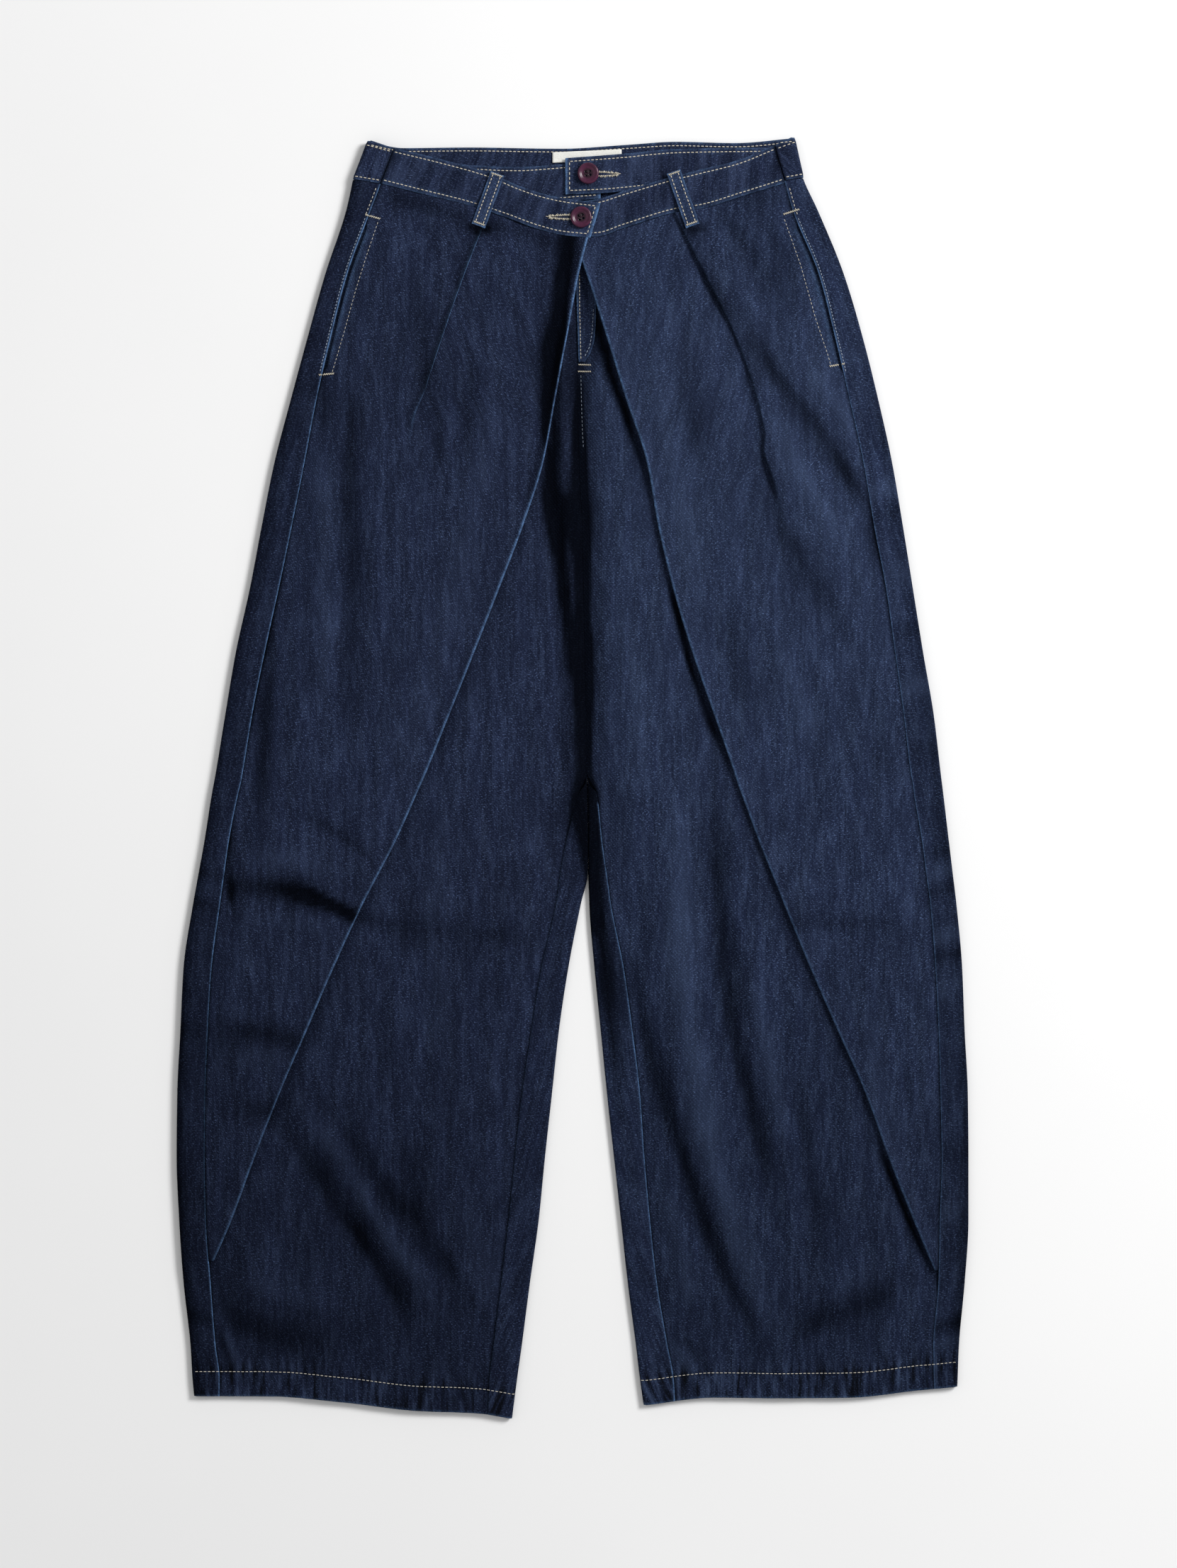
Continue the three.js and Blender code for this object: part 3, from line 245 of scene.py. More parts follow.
# Painted shadows, darkened into the colour: beside the fold edges and the tucks, under the waistbands and the
# belt loops, and in creases and folds: strength, half width and line.
PAINTED_SHADOWS = [
    (2.0, 8, [(5, 482), (-1, 430), (-7, 390), (-11, 350), (-17, 300), (-18, 262), (-24, 226)]),
    (0.50, 9, [(-176, 312), (-176, 256), (-178, 200)]),
    (0.30, 14, [(-178, 250), (-176, 160), (-180, 50)]),
    (0.60, 8, [(-228, 226), (-240, 120), (-244, 50), (-246, 0), (-254, -56)]),
    (0.35, 4, [(-216, -28), (-196, -38), (-178, -50), (-156, -66)]),
    (1.30, 7, [(-226, -87), (-202, -95), (-182, -104), (-160, -116), (-136, -130)]),
    (0.45, 13, [(-288, -84), (-240, -88), (-196, -96)]),
    (0.80, 3, [(-270, -34), (-272, -70), (-271, -96), (-265, -112)]),
    (0.40, 15, [(-294, -198), (-244, -203), (-196, -214)]),
    (0.30, 13, [(-276, -262), (-242, -264), (-212, -244)]),
    (0.35, 11, [(-124, 396), (-118, 344), (-110, 300), (-106, 230)]),
    (0.30, 10, [(-84, 340), (-78, 290), (-82, 240)]),
    (0.55, 8, [(-156, 463), (-112, 451), (-72, 440)]),
    (0.45, 7, [(-70, 441), (-40, 433), (-8, 422)]),
    (1.60, 4, [(-86, 437), (-74, 433), (-62, 436)]),
    (0.55, 7, [(-206, 360), (-198, 326), (-196, 296), (-198, 266)]),
    (0.40, 9, [(132, 376), (158, 322), (186, 286), (214, 248), (242, 200)]),
    (0.40, 8, [(110, 462), (126, 432), (142, 408), (158, 368)]),
    (0.35, 8, [(148, 452), (166, 412), (182, 376)]),
    (0.35, 10, [(146, 270), (156, 222), (176, 172)]),
    (0.35, 7, [(92, 446), (108, 396), (126, 350)]),
    (0.30, 11, [(162, 212), (184, 162), (212, 124), (232, 84)]),
    (0.50, 5, [(232, 222), (242, 180), (250, 150), (260, 98)]),
    (0.25, 13, [(140, -108), (200, -114), (246, -118), (272, -136)]),
    (0.30, 12, [(226, 100), (246, 42), (258, -16)]),
    (0.35, 12, [(92, 346), (94, 290), (106, 236)]),
    (0.25, 12, [(122, 150), (130, 96), (140, 40)]),
    (0.70, 4, [(84, 440), (96, 434), (108, 438)]),
    (0.50, 7, [(166, 466), (186, 436), (198, 402)]),
    (0.40, 9, [(118, 466), (140, 462), (166, 468)]),
]
# Small folds across the strips beside the side seams: height, strength and half width.
STRIP_LEFT = [
    (345, -0.5, 6), (306, -0.6, 7), (286, 0.4, 8), (120, 0.3, 12), (30, -0.3, 10), (-80, -0.7, 6),
    (-91, 0.6, 5), (-104, -0.8, 6), (-130, 0.4, 8), (-172, -0.4, 9), (-205, -0.6, 9),
    (-260, 0.4, 10), (-330, -0.3, 12), (-430, -0.7, 7), (-446, 0.6, 6),
]
STRIP_RIGHT = [
    (330, 0.4, 10), (262, -0.5, 8), (226, 0.8, 7), (206, -1.0, 6), (160, 0.5, 10), (112, -0.8, 7),
    (70, 0.9, 9), (20, -0.6, 8), (-62, -0.7, 6), (-78, 0.8, 6), (-92, -0.9, 7), (-128, 0.9, 7),
    (-143, -1.0, 6), (-170, 0.5, 8), (-300, -0.5, 10), (-345, 0.6, 8), (-436, -1.0, 7),
    (-450, 0.8, 6),
]
# The raised crest of each diagonal fold: height along the leg, and how far it stands up.
LEFT_RIDGE = [(480, 4.2), (420, 5.2), (330, 4.6), (250, 3.2), (150, 1.7), (0, 1.2), (-200, 0.9), (-382, 0.3)]
RIGHT_RIDGE = [
    (480, 0.8), (400, 3.0), (330, 4.2), (250, 2.4), (205, 0.7), (165, 0.9), (90, 2.4), (20, 1.4),
    (-30, 0.5), (-280, 0.4), (-340, 1.3), (-390, 0.3),
]
# How strong each leg's worn places, painted shade and painted highlights are, from 0 to 1. Apart from wear,
# the strip, flap and tuck entries are painted shade on the strips beside the side seams, on the flap by the
# inseam and beside the tuck, and painted highlight on the strips' folds; inseam_dark is a dark line along the
# inseam, and low_dark and high_pale make the leg darker towards the hem and paler higher up.
LEFT_LOOK = {
    "seam_wear": 0.80, "inseam_wear": 0.10, "inseam_dark": 0.6, "strip_painted_shade": 0.34, "strip_painted_highlight": 0.5,
    "flap_painted_shade": 0.08, "low_dark": 0.40, "high_pale": 0.05, "fold_wear": 0.72, "fold_wear_up": 0.18,
    "tuck_wear": 0.9, "tuck_painted_shadow": 0.70,
}
RIGHT_LOOK = {
    "seam_wear": 0.42, "inseam_wear": 0.75, "inseam_dark": 0.0, "strip_painted_shade": 0.20, "strip_painted_highlight": 1.0,
    "flap_painted_shade": 0.5, "low_dark": 0.34, "high_pale": 0.13, "fold_wear": 0.55, "fold_wear_up": 0.35,
    "tuck_wear": 0.16, "tuck_painted_shadow": 0.15,
}


# Curves and fields

def clamp(v):
    return np.clip(v, 0.0, 1.0)


def mix(a, b, t):
    return a + (b - a) * t


def smooth(start, end, v):
    t = clamp((np.asarray(v, float) - start) / (end - start))
    return t * t * (3 - 2 * t)


def bell(v, width, middle=0.0):
    """A soft bump: 1 at the middle, falling off over the width on both sides."""
    return np.exp(-(((v - middle) / width) ** 2))


def curve(rows, key, column):
    """A smooth curve through a table's column, with no overshoot."""
    pairs = sorted((row[key], row[column]) for row in rows)
    at = np.array([p[0] for p in pairs], float)
    value = np.array([p[1] for p in pairs], float)
    slope = np.diff(value) / np.diff(at)
    before = np.concatenate([slope[:1], slope])
    after = np.concatenate([slope, slope[-1:]])
    with np.errstate(divide="ignore", invalid="ignore"):
        tangent = np.where(before * after <= 0, 0.0, 2 * before * after / (before + after))

    def read(v):
        v = np.clip(np.asarray(v, float), at[0], at[-1])
        i = np.clip(np.searchsorted(at, v, side="right") - 1, 0, len(at) - 2)
        width = at[i + 1] - at[i]
        t = (v - at[i]) / width
        bend = t * t * (3 - 2 * t)
        return (mix(value[i], value[i + 1], bend)
                + t * (1 - t) ** 2 * width * tangent[i]
                + t * t * (t - 1) * width * tangent[i + 1])

    return read


class Leg:
    """One leg's lines as functions of the height, with sign -1 on the left and 1 on the right."""

    def __init__(self, sign, name, lines, tuck, hem, over, under, tip, tuck_end, lifted, ridge, strip, look):
        self.sign, self.name, self.strip, self.look = sign, name, strip, look
        for k, line in enumerate(("edge", "side", "fold", "inseam", "inner")):
            setattr(self, line, curve(lines, 0, k + 1))
        self.tuck_edge, self.tuck_depth = curve(tuck, 0, 1), curve(tuck, 0, 2)
        self.tuck_start, self.tuck_end = tuck[-1][0], tuck_end
        self.hem = curve(hem, 0, 1)
        self.hem_y = mix(hem[0][1], hem[-1][1], 0.5)
        self.over, self.under = over, under
        self.tip, self.lifted, self.ridge = tip, lifted, curve(ridge, 0, 1)


# The diagonal fold's tip, the tuck's end, and where the outer front is lifted: by how much, between
# which x, and between which y.
LEFT = Leg(-1, "left", LEFT_LINES, LEFT_TUCK, LEFT_HEM, curve(OUTER_LEFT, 2, 3), curve(INNER_LEFT, 2, 3),
           -382, 275, (4.9, (-48, -12), (330, 398)), LEFT_RIDGE, STRIP_LEFT, LEFT_LOOK)
RIGHT = Leg(1, "right", RIGHT_LINES, RIGHT_TUCK, RIGHT_HEM, curve(OUTER_RIGHT, 2, 3),
            curve(FRONT_RIGHT_TOP, 0, 1), -390, 205, (1.7, (60, 25), (300, 375)), RIGHT_RIDGE,
            STRIP_RIGHT, RIGHT_LOOK)


def strip_folds(leg, y):
    return sum(strength * bell(y, width, at) for at, strength, width in leg.strip)


def waist_rise(y):
    return WAIST_RISE * smooth(400, 450, y)


def below_tip(leg, y):
    return smooth(leg.tip, leg.tip - TIP_FADE, y)


def side_level(leg, y):
    return mix(SIDE, HEM_LEVEL, below_tip(leg, y)) + waist_rise(y)


def inseam_level(y):
    base = mix(INNER, INSEAM, smooth(CROTCH, CROTCH - ROLL_DEPTH, y))
    return mix(base, HEM_LEVEL, smooth(-430, -455, y))


def field(lines, x, y):
    """The sum of soft uneven strips along the given lines, each fading towards its ends."""
    total = np.zeros(np.broadcast(x, y).shape)
    for number, (depth, width, line) in enumerate(lines):
        near = np.full(total.shape, np.inf)
        side, at = np.zeros(total.shape), np.zeros(total.shape)
        lengths = [math.dist(a, b) for a, b in zip(line, line[1:])]
        run = 0.0
        for (ax, ay), (bx, by), length in zip(line, line[1:], lengths):
            ux, uy = (bx - ax) / length, (by - ay) / length
            held = np.clip((x - ax) * ux + (y - ay) * uy, 0, length)
            away = np.hypot(x - ax - ux * held, y - ay - uy * held)
            closer = away < near
            near = np.where(closer, away, near)
            at = np.where(closer, run + held, at)
            side = np.where(closer, (x - ax) * uy - (y - ay) * ux, side)
            run += length
        share = at / sum(lengths)
        fade = smooth(0, 0.24, share) * smooth(1, 0.76, share)
        lean = 0.30 * math.sin(2.4 * number + 1) * np.tanh(side / 3.0)
        spread_out = width * (1 + 0.22 * np.sin(at / 19.0 + 1.7 * number)) * (1 + lean)
        uneven = 0.86 + 0.22 * np.sin(at / 13.0 + 2.1 * number) * np.sin(at / 31.0 + number)
        total += depth * uneven * bell(near, spread_out) * (0.25 + 0.75 * fade)
    return total


class Chart:
    """A field worked out once on a fine grid and then read between the grid's points."""

    def __init__(self, lines, step=1.5):
        self.step, self.left, self.low = step, -330.0, -525.0
        across, up = np.arange(self.left, 331, step), np.arange(self.low, 526, step)
        self.value = field(lines, *np.meshgrid(across, up))

    def __call__(self, x, y):
        x, y = np.broadcast_arrays(x, y)
        v = self.value
        across = np.clip((x - self.left) / self.step, 0, v.shape[1] - 1.001)
        up = np.clip((y - self.low) / self.step, 0, v.shape[0] - 1.001)
        j, i = across.astype(int), up.astype(int)
        s, t = across - j, up - i
        low = v[i, j] * (1 - s) + v[i, j + 1] * s
        high = v[i + 1, j] * (1 - s) + v[i + 1, j + 1] * s
        return low * (1 - t) + high * t


creases, valley, painted_shadow = Chart(CREASES), Chart(VALLEY), Chart(PAINTED_SHADOWS)


# Levels of the cloth

def ripple(leg, x, y):
    """Soft waves of the cloth that run down the leg, uneven in spacing and height."""
    width = np.abs(leg.side(y) - leg.inseam(y))
    u = leg.sign * (x - leg.inseam(y)) * mix(1.0, 180 / width, 0.6)
    wander = 0.9 * np.sin(y / 83.0 + u / 61.0) + 0.6 * np.sin(y / 37.0 + 1.3 * leg.sign)
    waves = (0.30 * np.sin(u / 6.1 + wander)
             + 0.26 * np.sin(u / 9.7 - 1.4 * wander + 2.1)
             + 0.22 * np.sin(u / 3.9 + 2.2 * wander + leg.sign))
    return waves * (0.55 + 0.45 * np.sin(y / 71.0 + u / 43.0 + 0.7 * leg.sign))


def relief(leg, x, y):
    """What both front layers share above the plain level: swelling, the centre valley and creases."""
    away = leg.sign * (x - leg.inseam(y))
    to_side = leg.sign * (leg.side(y) - x)
    calm = (1 - smooth(385, 445, y)) * smooth(leg.hem_y + 14, leg.hem_y + 90, y)
    deep = smooth(410, 300, y) * smooth(-90, 20, y)
    if leg is LEFT:
        crest = 4.4 * bell(away, 6.5, 11) * deep
        swell = 4.2 * smooth(-2, 30, away) * smooth(-2, 34, to_side)
    else:
        crest = 3.8 * smooth(5, 19, away) * smooth(120, 40, away) * deep
        swell = 4.2 * smooth(-2, 36, away) * smooth(0, 40, to_side)
    lower = 1.4 * bell(away, 24, 36) * smooth(-30, -110, y)
    edges = smooth(-1, 8, away) * smooth(0, 10, to_side)
    moved = (1.15 * creases(x, y) + ripple(leg, x, y)) * edges * (0.35 + 0.65 * calm)
    raised = (crest + swell + lower) * calm + moved
    plain = inner_plain(leg, x, y)
    spare = plain + raised - LOWEST
    return LOWEST + 0.5 * (spare + np.sqrt(spare ** 2 + 0.36)) - plain


def shading(leg, x, y):
    """Painted shade and highlight: how much darker the hollows of the creases and ripples and paler their
    ridges are, standing in for their shading; the legs are also darker towards the hem and paler higher up.
    """
    height = creases(x, y) + 0.5 * ripple(leg, x, y)
    dark = 0.14 * np.maximum(0, -height - 0.15) + leg.look["low_dark"] * smooth(60, -460, y) + 0.04
    high = leg.look["high_pale"] * smooth(-160, 240, y) * (1 - 0.7 * smooth(320, 430, y))
    return dark, clamp(0.22 * np.maximum(0, height - 0.1) + high)


def over_hem(leg, x, y):
    return y - (leg.hem(x) + HEM_DEPTH)


def hem_pucker(leg, x, y, v):
    """Diagonal roping of the turned hem and the small gathers just above its stitching."""
    over = over_hem(leg, x, y)
    lean = x + 0.62 * over * leg.sign
    amount = 0.6 + 0.4 * np.sin(x / 23.0 + leg.sign)
    rope = np.sin(lean / 2.4 + 1.6 * np.sin(x / 11.0)) * smooth(2, -4, over) * smooth(-20.5, -16, over)
    gather = np.sin(x / 2.1 + 1.4 * np.sin(x / 17.0)) * bell(over, 7, 4)
    broad = 0.8 * np.sin(x / 7.5 + 2.0 * np.sin(x / 41.0)) * bell(over, 16, 2)
    near = smooth(leg.hem_y + 45, leg.hem_y + 25, v)
    return ((0.55 * rope + 0.6 * gather + broad) * amount - 0.5 * bell(over, 1.6)) * near


def puckered(over):
    """How strongly the cloth is gathered, by the height over the hem's stitching: it scales the gathers' bump
    and their painted shade and highlight.
    """
    return np.where(over > 0, bell(over, 9), 1.0)


def inner_plain(leg, x, y):
    share = clamp((x - leg.inseam(y)) / (leg.side(y) - leg.inseam(y)))
    swell = 1 - (2 * np.minimum(1, share / 0.93) - 1) ** 4
    freedom = (1 - smooth(330, 430, y)) * (1 - 0.5 * smooth(-420, -470, y))
    edges = mix(inseam_level(y), mix(INNER, HEM_LEVEL, below_tip(leg, y)), share)
    return edges + waist_rise(y) + 1.6 * swell * freedom


def inner_level(leg, x, y):
    return inner_plain(leg, x, y) + relief(leg, x, y)


def lift(leg, x, y):
    height, across, along = leg.lifted
    return height * smooth(*across, x) * smooth(*along, y)


# Sections

def turn(start, heading, angle, radius, steps=TURN_STEPS):
    """Points along an arc that starts at a point with a heading and turns by an angle."""
    way = math.copysign(1.0, angle)
    now = heading + angle * np.arange(1, steps + 1) / steps
    out = start[0] + way * radius * (np.sin(now) - math.sin(heading))
    up = start[1] - way * radius * (np.cos(now) - math.cos(heading))
    return np.stack([out, up], axis=1)


def spread(near, count, far):
    """Columns between two lines: shares of the way, and millimetres added, dense at both ends."""
    t = np.linspace(0, 1, count + 2)[1:-1]
    share = np.concatenate([np.zeros(len(near)), t, np.ones(len(far))])
    add = np.concatenate([near, near[-1] * (1 - t) - far[-1] * t, [-d for d in reversed(far)]])
    return share, add


class Section:
    """One section across a panel at station v, built of stretches from its start to its end."""

    def __init__(self, leg, v, top, station):
        self.leg, self.v, self.top, self.station = leg, v, top, station
        self.up = smooth(station - TOP_ZONE, station, v)
        self.down = smooth(leg.hem_y + HEM_ZONE, leg.hem_y, v)
        self.parts = []

    def put(self, outward):
        """The points of the section, from their distances outward at a height."""
        leg, v = self.leg, self.v
        x = leg.sign * outward(np.float64(v))
        for _ in range(4):
            y = v + (self.top(x) - self.station) * self.up + (leg.hem(x) - leg.hem_y) * self.down
            x = leg.sign * outward(y)
        return x, y

    def add(self, outward, level):
        x, y = self.put(outward)
        z = level(x, y) if callable(level) else level
        self.parts.append(np.stack(np.broadcast_arrays(x, y, z), axis=1))

    def points(self):
        return np.vstack(self.parts)


def stations(leg, top, stop=None):
    """Heights of the sections, closer at the crotch and the hem, down to the hem or to a stop."""
    rows = list(np.arange(top, 24, -4.0)) + list(np.arange(24, -24, -2.5))
    if stop is None:
        low = leg.hem_y + 46
        rows += list(np.arange(-24, low, -4.0)) + list(np.arange(low, leg.hem_y + 3, -1.6))
        rows += [leg.hem_y + left for left in (2, 1, 0.4, 0)]
    else:
        rows += list(np.arange(-24, stop, -4.0)) + [stop]
    return [r for k, r in enumerate(rows) if k == 0 or rows[k - 1] - r > 0.3]


def waist_line(x):
    return WAIST_LINE - 0.3 + 5 * clamp((np.abs(x) - 150) / 32)


# Meshes

def place(name, mesh, material):
    """An object of the root body, from its mesh."""
    made = bpy.data.objects.new(name, mesh)
    bpy.context.collection.objects.link(made)
    made.data.materials.append(material)
    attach(made, "root")
    return made


def unit(v):
    return v / np.maximum(np.linalg.norm(v, axis=-1, keepdims=True), TINY)


def shell(name, points, tone, uv, material, out, inside, flip):
    """A closed cloth shell on a grid of points: its outer face, its inner face and a rounded rim."""
    n, m, _ = points.shape
    across, along = np.gradient(points, axis=1), np.gradient(points, axis=0)
    normal = unit(np.cross(along, across) * flip)
    out, inside = (np.broadcast_to(np.asarray(part, float), (n, m)) for part in (out, inside))
    outer = points + normal * out[..., None]
    inner = points - normal * inside[..., None]
    loop = [(0, j) for j in range(m)] + [(i, m - 1) for i in range(1, n)]
    loop += [(n - 1, j) for j in range(m - 2, -1, -1)] + [(i, 0) for i in range(n - 2, 0, -1)]
    rim = []
    for i, j in loop:
        push = np.zeros(3)
        for hit, way in ((j == 0, -across[i, j]), (j == m - 1, across[i, j]),
                         (i == 0, -along[i, j]), (i == n - 1, along[i, j])):
            if hit:
                push += unit(way)
        middle = (outer[i, j] + inner[i, j]) / 2
        rim.append(middle + unit(push) * RIM * float(out[i, j] + inside[i, j]) / 2)
    verts = np.concatenate([outer.reshape(-1, 3), inner.reshape(-1, 3), np.array(rim)]) * MM
    grid = np.arange(n * m).reshape(n, m)
    a, b, c, d = grid[:-1, :-1], grid[1:, :-1], grid[1:, 1:], grid[:-1, 1:]
    front = np.stack([a, b, c, d], axis=-1).reshape(-1, 4)
    back = np.stack([a, d, c, b], axis=-1).reshape(-1, 4) + n * m
    edge = np.array([i * m + j for i, j in loop])
    following = np.roll(edge, -1)
    ring = 2 * n * m + np.arange(len(loop))
    ring_next = np.roll(ring, -1)
    upper = np.stack([edge, following, ring_next, ring], axis=-1)
    lower = np.stack([ring, ring_next, following + n * m, edge + n * m], axis=-1)
    faces = np.concatenate([side[:, ::-1] if flip < 0 else side for side in (front, back, upper, lower)])
    source = np.concatenate([np.arange(n * m), np.arange(n * m), edge])
    mesh = bpy.data.meshes.new(name)
    mesh.from_pydata(verts.tolist(), [], faces.tolist())
    mesh.polygons.foreach_set("use_smooth", np.ones(len(faces), bool))
    corner = np.empty(len(mesh.loops), np.int32)
    mesh.loops.foreach_get("vertex_index", corner)
    flat_uv = (np.asarray(uv, float).reshape(-1, 2) * MM)[source[corner]]
    mesh.uv_layers.new(name="cloth").data.foreach_set("uv", flat_uv.astype(np.float32).ravel())
    colour = mesh.color_attributes.new(name="tone", type="FLOAT_COLOR", domain="POINT")
    colour.data.foreach_set("color", np.asarray(tone, np.float32).reshape(-1, 4)[source].ravel())
    mesh.validate()
    mesh.update()
    return place(name, mesh, material)


def arc(points, axis):
    """Length along a grid's rows or columns from their start."""
    step = np.linalg.norm(np.diff(points, axis=axis), axis=2)
    pad = [(1, 0), (0, 0)] if axis == 0 else [(0, 0), (1, 0)]
    return np.pad(np.cumsum(step, axis=axis), pad)


def cut_of(points):
    """The widest and the longest line over a grid, in metres."""
    widest, longest = arc(points, 1)[:, -1].max(), arc(points, 0)[-1].max()
    return round(float(widest) * MM, 3), round(float(longest) * MM, 3)


def tones(wear, dark=0.0, pale=0.0, pucker=0.0):
    """What the denim material reads at each point, from 0 to 1: worn, dark (painted shade for the most part),
    pale (painted highlight and paler places) and gathered (the gathers' bump and their painted shade and
    highlight).
    """
    shape = np.shape(wear)
    return np.stack([np.broadcast_to(clamp(part), shape) for part in (wear, dark, pale, pucker)], axis=-1)


pieces = {}


def sheet(name, points, tone, uv, material, rests_on, size=None, out=CLOTH / 2, inside=CLOTH / 2,
          flip=1.0):
    """Builds a piece of cloth in place of its solid, hides the solid, and keeps the piece by name."""
    made = shell(name + "_cloth", points, tone, uv, material, out, inside, flip)
    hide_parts(name)
    size = size or cut_of(points)
    pieces[name] = made


# Materials

class Look:
    """A material and short ways to add nodes to it."""

    def __init__(self, name, rough, specular, sheen=0.0):
        self.material = bpy.data.materials.new(name)
        self.material.use_nodes = True
        self.tree = self.material.node_tree
        self.shader = self.tree.nodes["Principled BSDF"]
        self.feed(self.shader, {"Roughness": rough, "Specular IOR Level": specular,
                                "Sheen Weight": sheen, "Sheen Roughness": 0.55})

    def feed(self, made, inputs):
        """Sets a node's inputs, or links them to other nodes' outputs."""
        for key, value in inputs.items():
            if isinstance(value, bpy.types.NodeSocket):
                self.tree.links.new(value, made.inputs[key])
            else:
                made.inputs[key].default_value = value
        return made

    def node(self, kind, inputs=None, **settings):
        made = self.tree.nodes.new(kind)
        for key, value in settings.items():
            setattr(made, key, value)
        return self.feed(made, inputs or {})

    def mapped(self, source, scale, turned=0.0):
        inputs = {"Vector": source, "Scale": scale, "Rotation": (0, 0, turned)}
        return self.node("ShaderNodeMapping", inputs).outputs["Vector"]

    def noise(self, source, scale, turned=0.0, detail=3.0, rough=0.6):
        inputs = {"Vector": self.mapped(source, scale, turned), "Scale": 1.0, "Detail": detail,
                  "Roughness": rough}
        return self.node("ShaderNodeTexNoise", inputs).outputs["Fac"]

    def ramp(self, value, low, high, start=0.0, end=1.0):
        inputs = {"Value": value, "From Min": low, "From Max": high, "To Min": start, "To Max": end}
        return self.node("ShaderNodeMapRange", inputs, clamp=True).outputs["Result"]

    def maths(self, operation, a, b):
        return self.node("ShaderNodeMath", {0: a, 1: b}, operation=operation).outputs[0]

    def times(self, a, b):
        return self.maths("MULTIPLY", a, b)

    def blend(self, share, a, b):
        a, b = ((*colour, 1) if isinstance(colour, tuple) else colour for colour in (a, b))
        made = self.node("ShaderNodeMix", {0: share, 6: a, 7: b}, data_type="RGBA", clamp_factor=True)
        return made.outputs[2]

    def colour(self, socket):
        self.feed(self.shader, {"Base Color": socket})

    def bump(self, height, strength, distance):
        inputs = {"Height": height, "Strength": strength, "Distance": distance}
        self.feed(self.shader, {"Normal": self.node("ShaderNodeBump", inputs).outputs["Normal"]})


def denim(name, deep, mid, pale, streaks=1.0):
    """Indigo twill: slub streaks along the grain, pale twill flecks, mottling and worn edges, with shade and
    highlights painted in from the tone attribute and the gathers.
    """
    look = Look(name, 0.9, 0.09)
    cloth = look.node("ShaderNodeUVMap", uv_map="cloth").outputs["UV"]
    tone = look.node("ShaderNodeVertexColor", layer_name="tone").outputs
    parts = look.node("ShaderNodeSeparateColor", {"Color": tone["Color"]}).outputs
    wear, dark, light, pucker = parts["Red"], parts["Green"], parts["Blue"], tone["Alpha"]
    slub, broad, cross, mottle, fleck, fine, patch, cloudy, gather = (
        look.noise(cloth, (across, along, 1), turned, detail, rough)
        for _, across, along, turned, detail, rough in DENIM_NOISES)
    flecks = look.times(look.ramp(fleck, 0.52, 0.64), look.ramp(fine, 0.44, 0.58))
    broken = look.times(look.ramp(fine, 0.30, 0.62, 0.35, 1.2), look.ramp(patch, 0.36, 0.6, 0.4, 1.1))
    body = look.blend(look.ramp(broad, 0.36, 0.66), deep, mid)
    for share, colour in (
            (look.times(look.ramp(slub, 0.50, 0.74), 0.44 * streaks), pale),
            (look.times(look.ramp(cross, 0.54, 0.76), 0.30), pale),
            (look.ramp(slub, 0.48, 0.30, 0.0, 0.46), SLUB_DARK),
            (look.times(flecks, 0.9), tuple(1.7 * v for v in pale)),
            (look.ramp(cloudy, 0.34, 0.54, 0.55, 0.0), deep),
            (look.ramp(cloudy, 0.50, 0.72, 0.0, 0.30), pale),
            (look.ramp(mottle, 0.36, 0.60, 0.34, 0.0), deep),
            # Painted highlight from the pale channel, painted shade and highlight in the gathers, real wear,
            # and painted shade from the dark channel.
            (look.times(light, 0.55), pale),
            (look.times(pucker, look.ramp(gather, 0.36, 0.50, 0.85, 0.0)), NEAR_BLACK),
            (look.times(pucker, look.ramp(gather, 0.54, 0.70, 0.0, 0.7)), pale),
            (look.times(wear, broken), WORN),
            (look.times(dark, 0.94), NEAR_BLACK)):
        body = look.blend(share, body, colour)
    look.colour(body)
    look.feed(look.shader, {"Specular IOR Level": look.ramp(dark, 0.0, 1.0, 0.08, 0.015)})
    weave = {"Vector": look.mapped(cloth, (170, 170, 1), 0.62), "Scale": 1.0, "Distortion": 1.2,
             "Detail": 1.0}
    twill = look.node("ShaderNodeTexWave", weave).outputs["Fac"]
    height = look.times(slub, 0.8)
    for part in (look.times(fine, 0.9), look.times(twill, 0.5), look.times(look.times(gather, pucker), 2.0)):
        height = look.maths("ADD", height, part)
    look.bump(height, 0.75, 0.00035)
    return look.material


def plain_cloth(name, dark, light, scale, rough=0.85):
    """A matt look of two colours in fine grains."""
    look = Look(name, rough, 0.3, 0.1)
    grain = look.noise(look.node("ShaderNodeTexCoord").outputs["Object"], scale)
    look.colour(look.blend(look.ramp(grain, 0.35, 0.65), dark, light))
    look.bump(grain, 0.5, 0.0002)
    return look.material


# The denim's noises: name, scale across and along the grain, turn, detail and roughness.
DENIM_NOISES = [
    ("slub", 720, 42, 0.0, 4.0, 0.75), ("broad", 110, 10, 0.0, 3.0, 0.6), ("cross", 46, 620, 0.0, 3.0, 0.7),
    ("mottle", 44, 15, 0.0, 4.0, 0.62), ("fleck", 430, 1300, 0.95, 2.0, 0.6),
    ("fine", 1050, 780, 0.0, 2.0, 0.8), ("patch", 150, 150, 0.0, 3.0, 0.6),
    ("cloudy", 165, 30, 0.12, 5.0, 0.70), ("gather", 215, 24, 0.12, 3.0, 0.62),
]
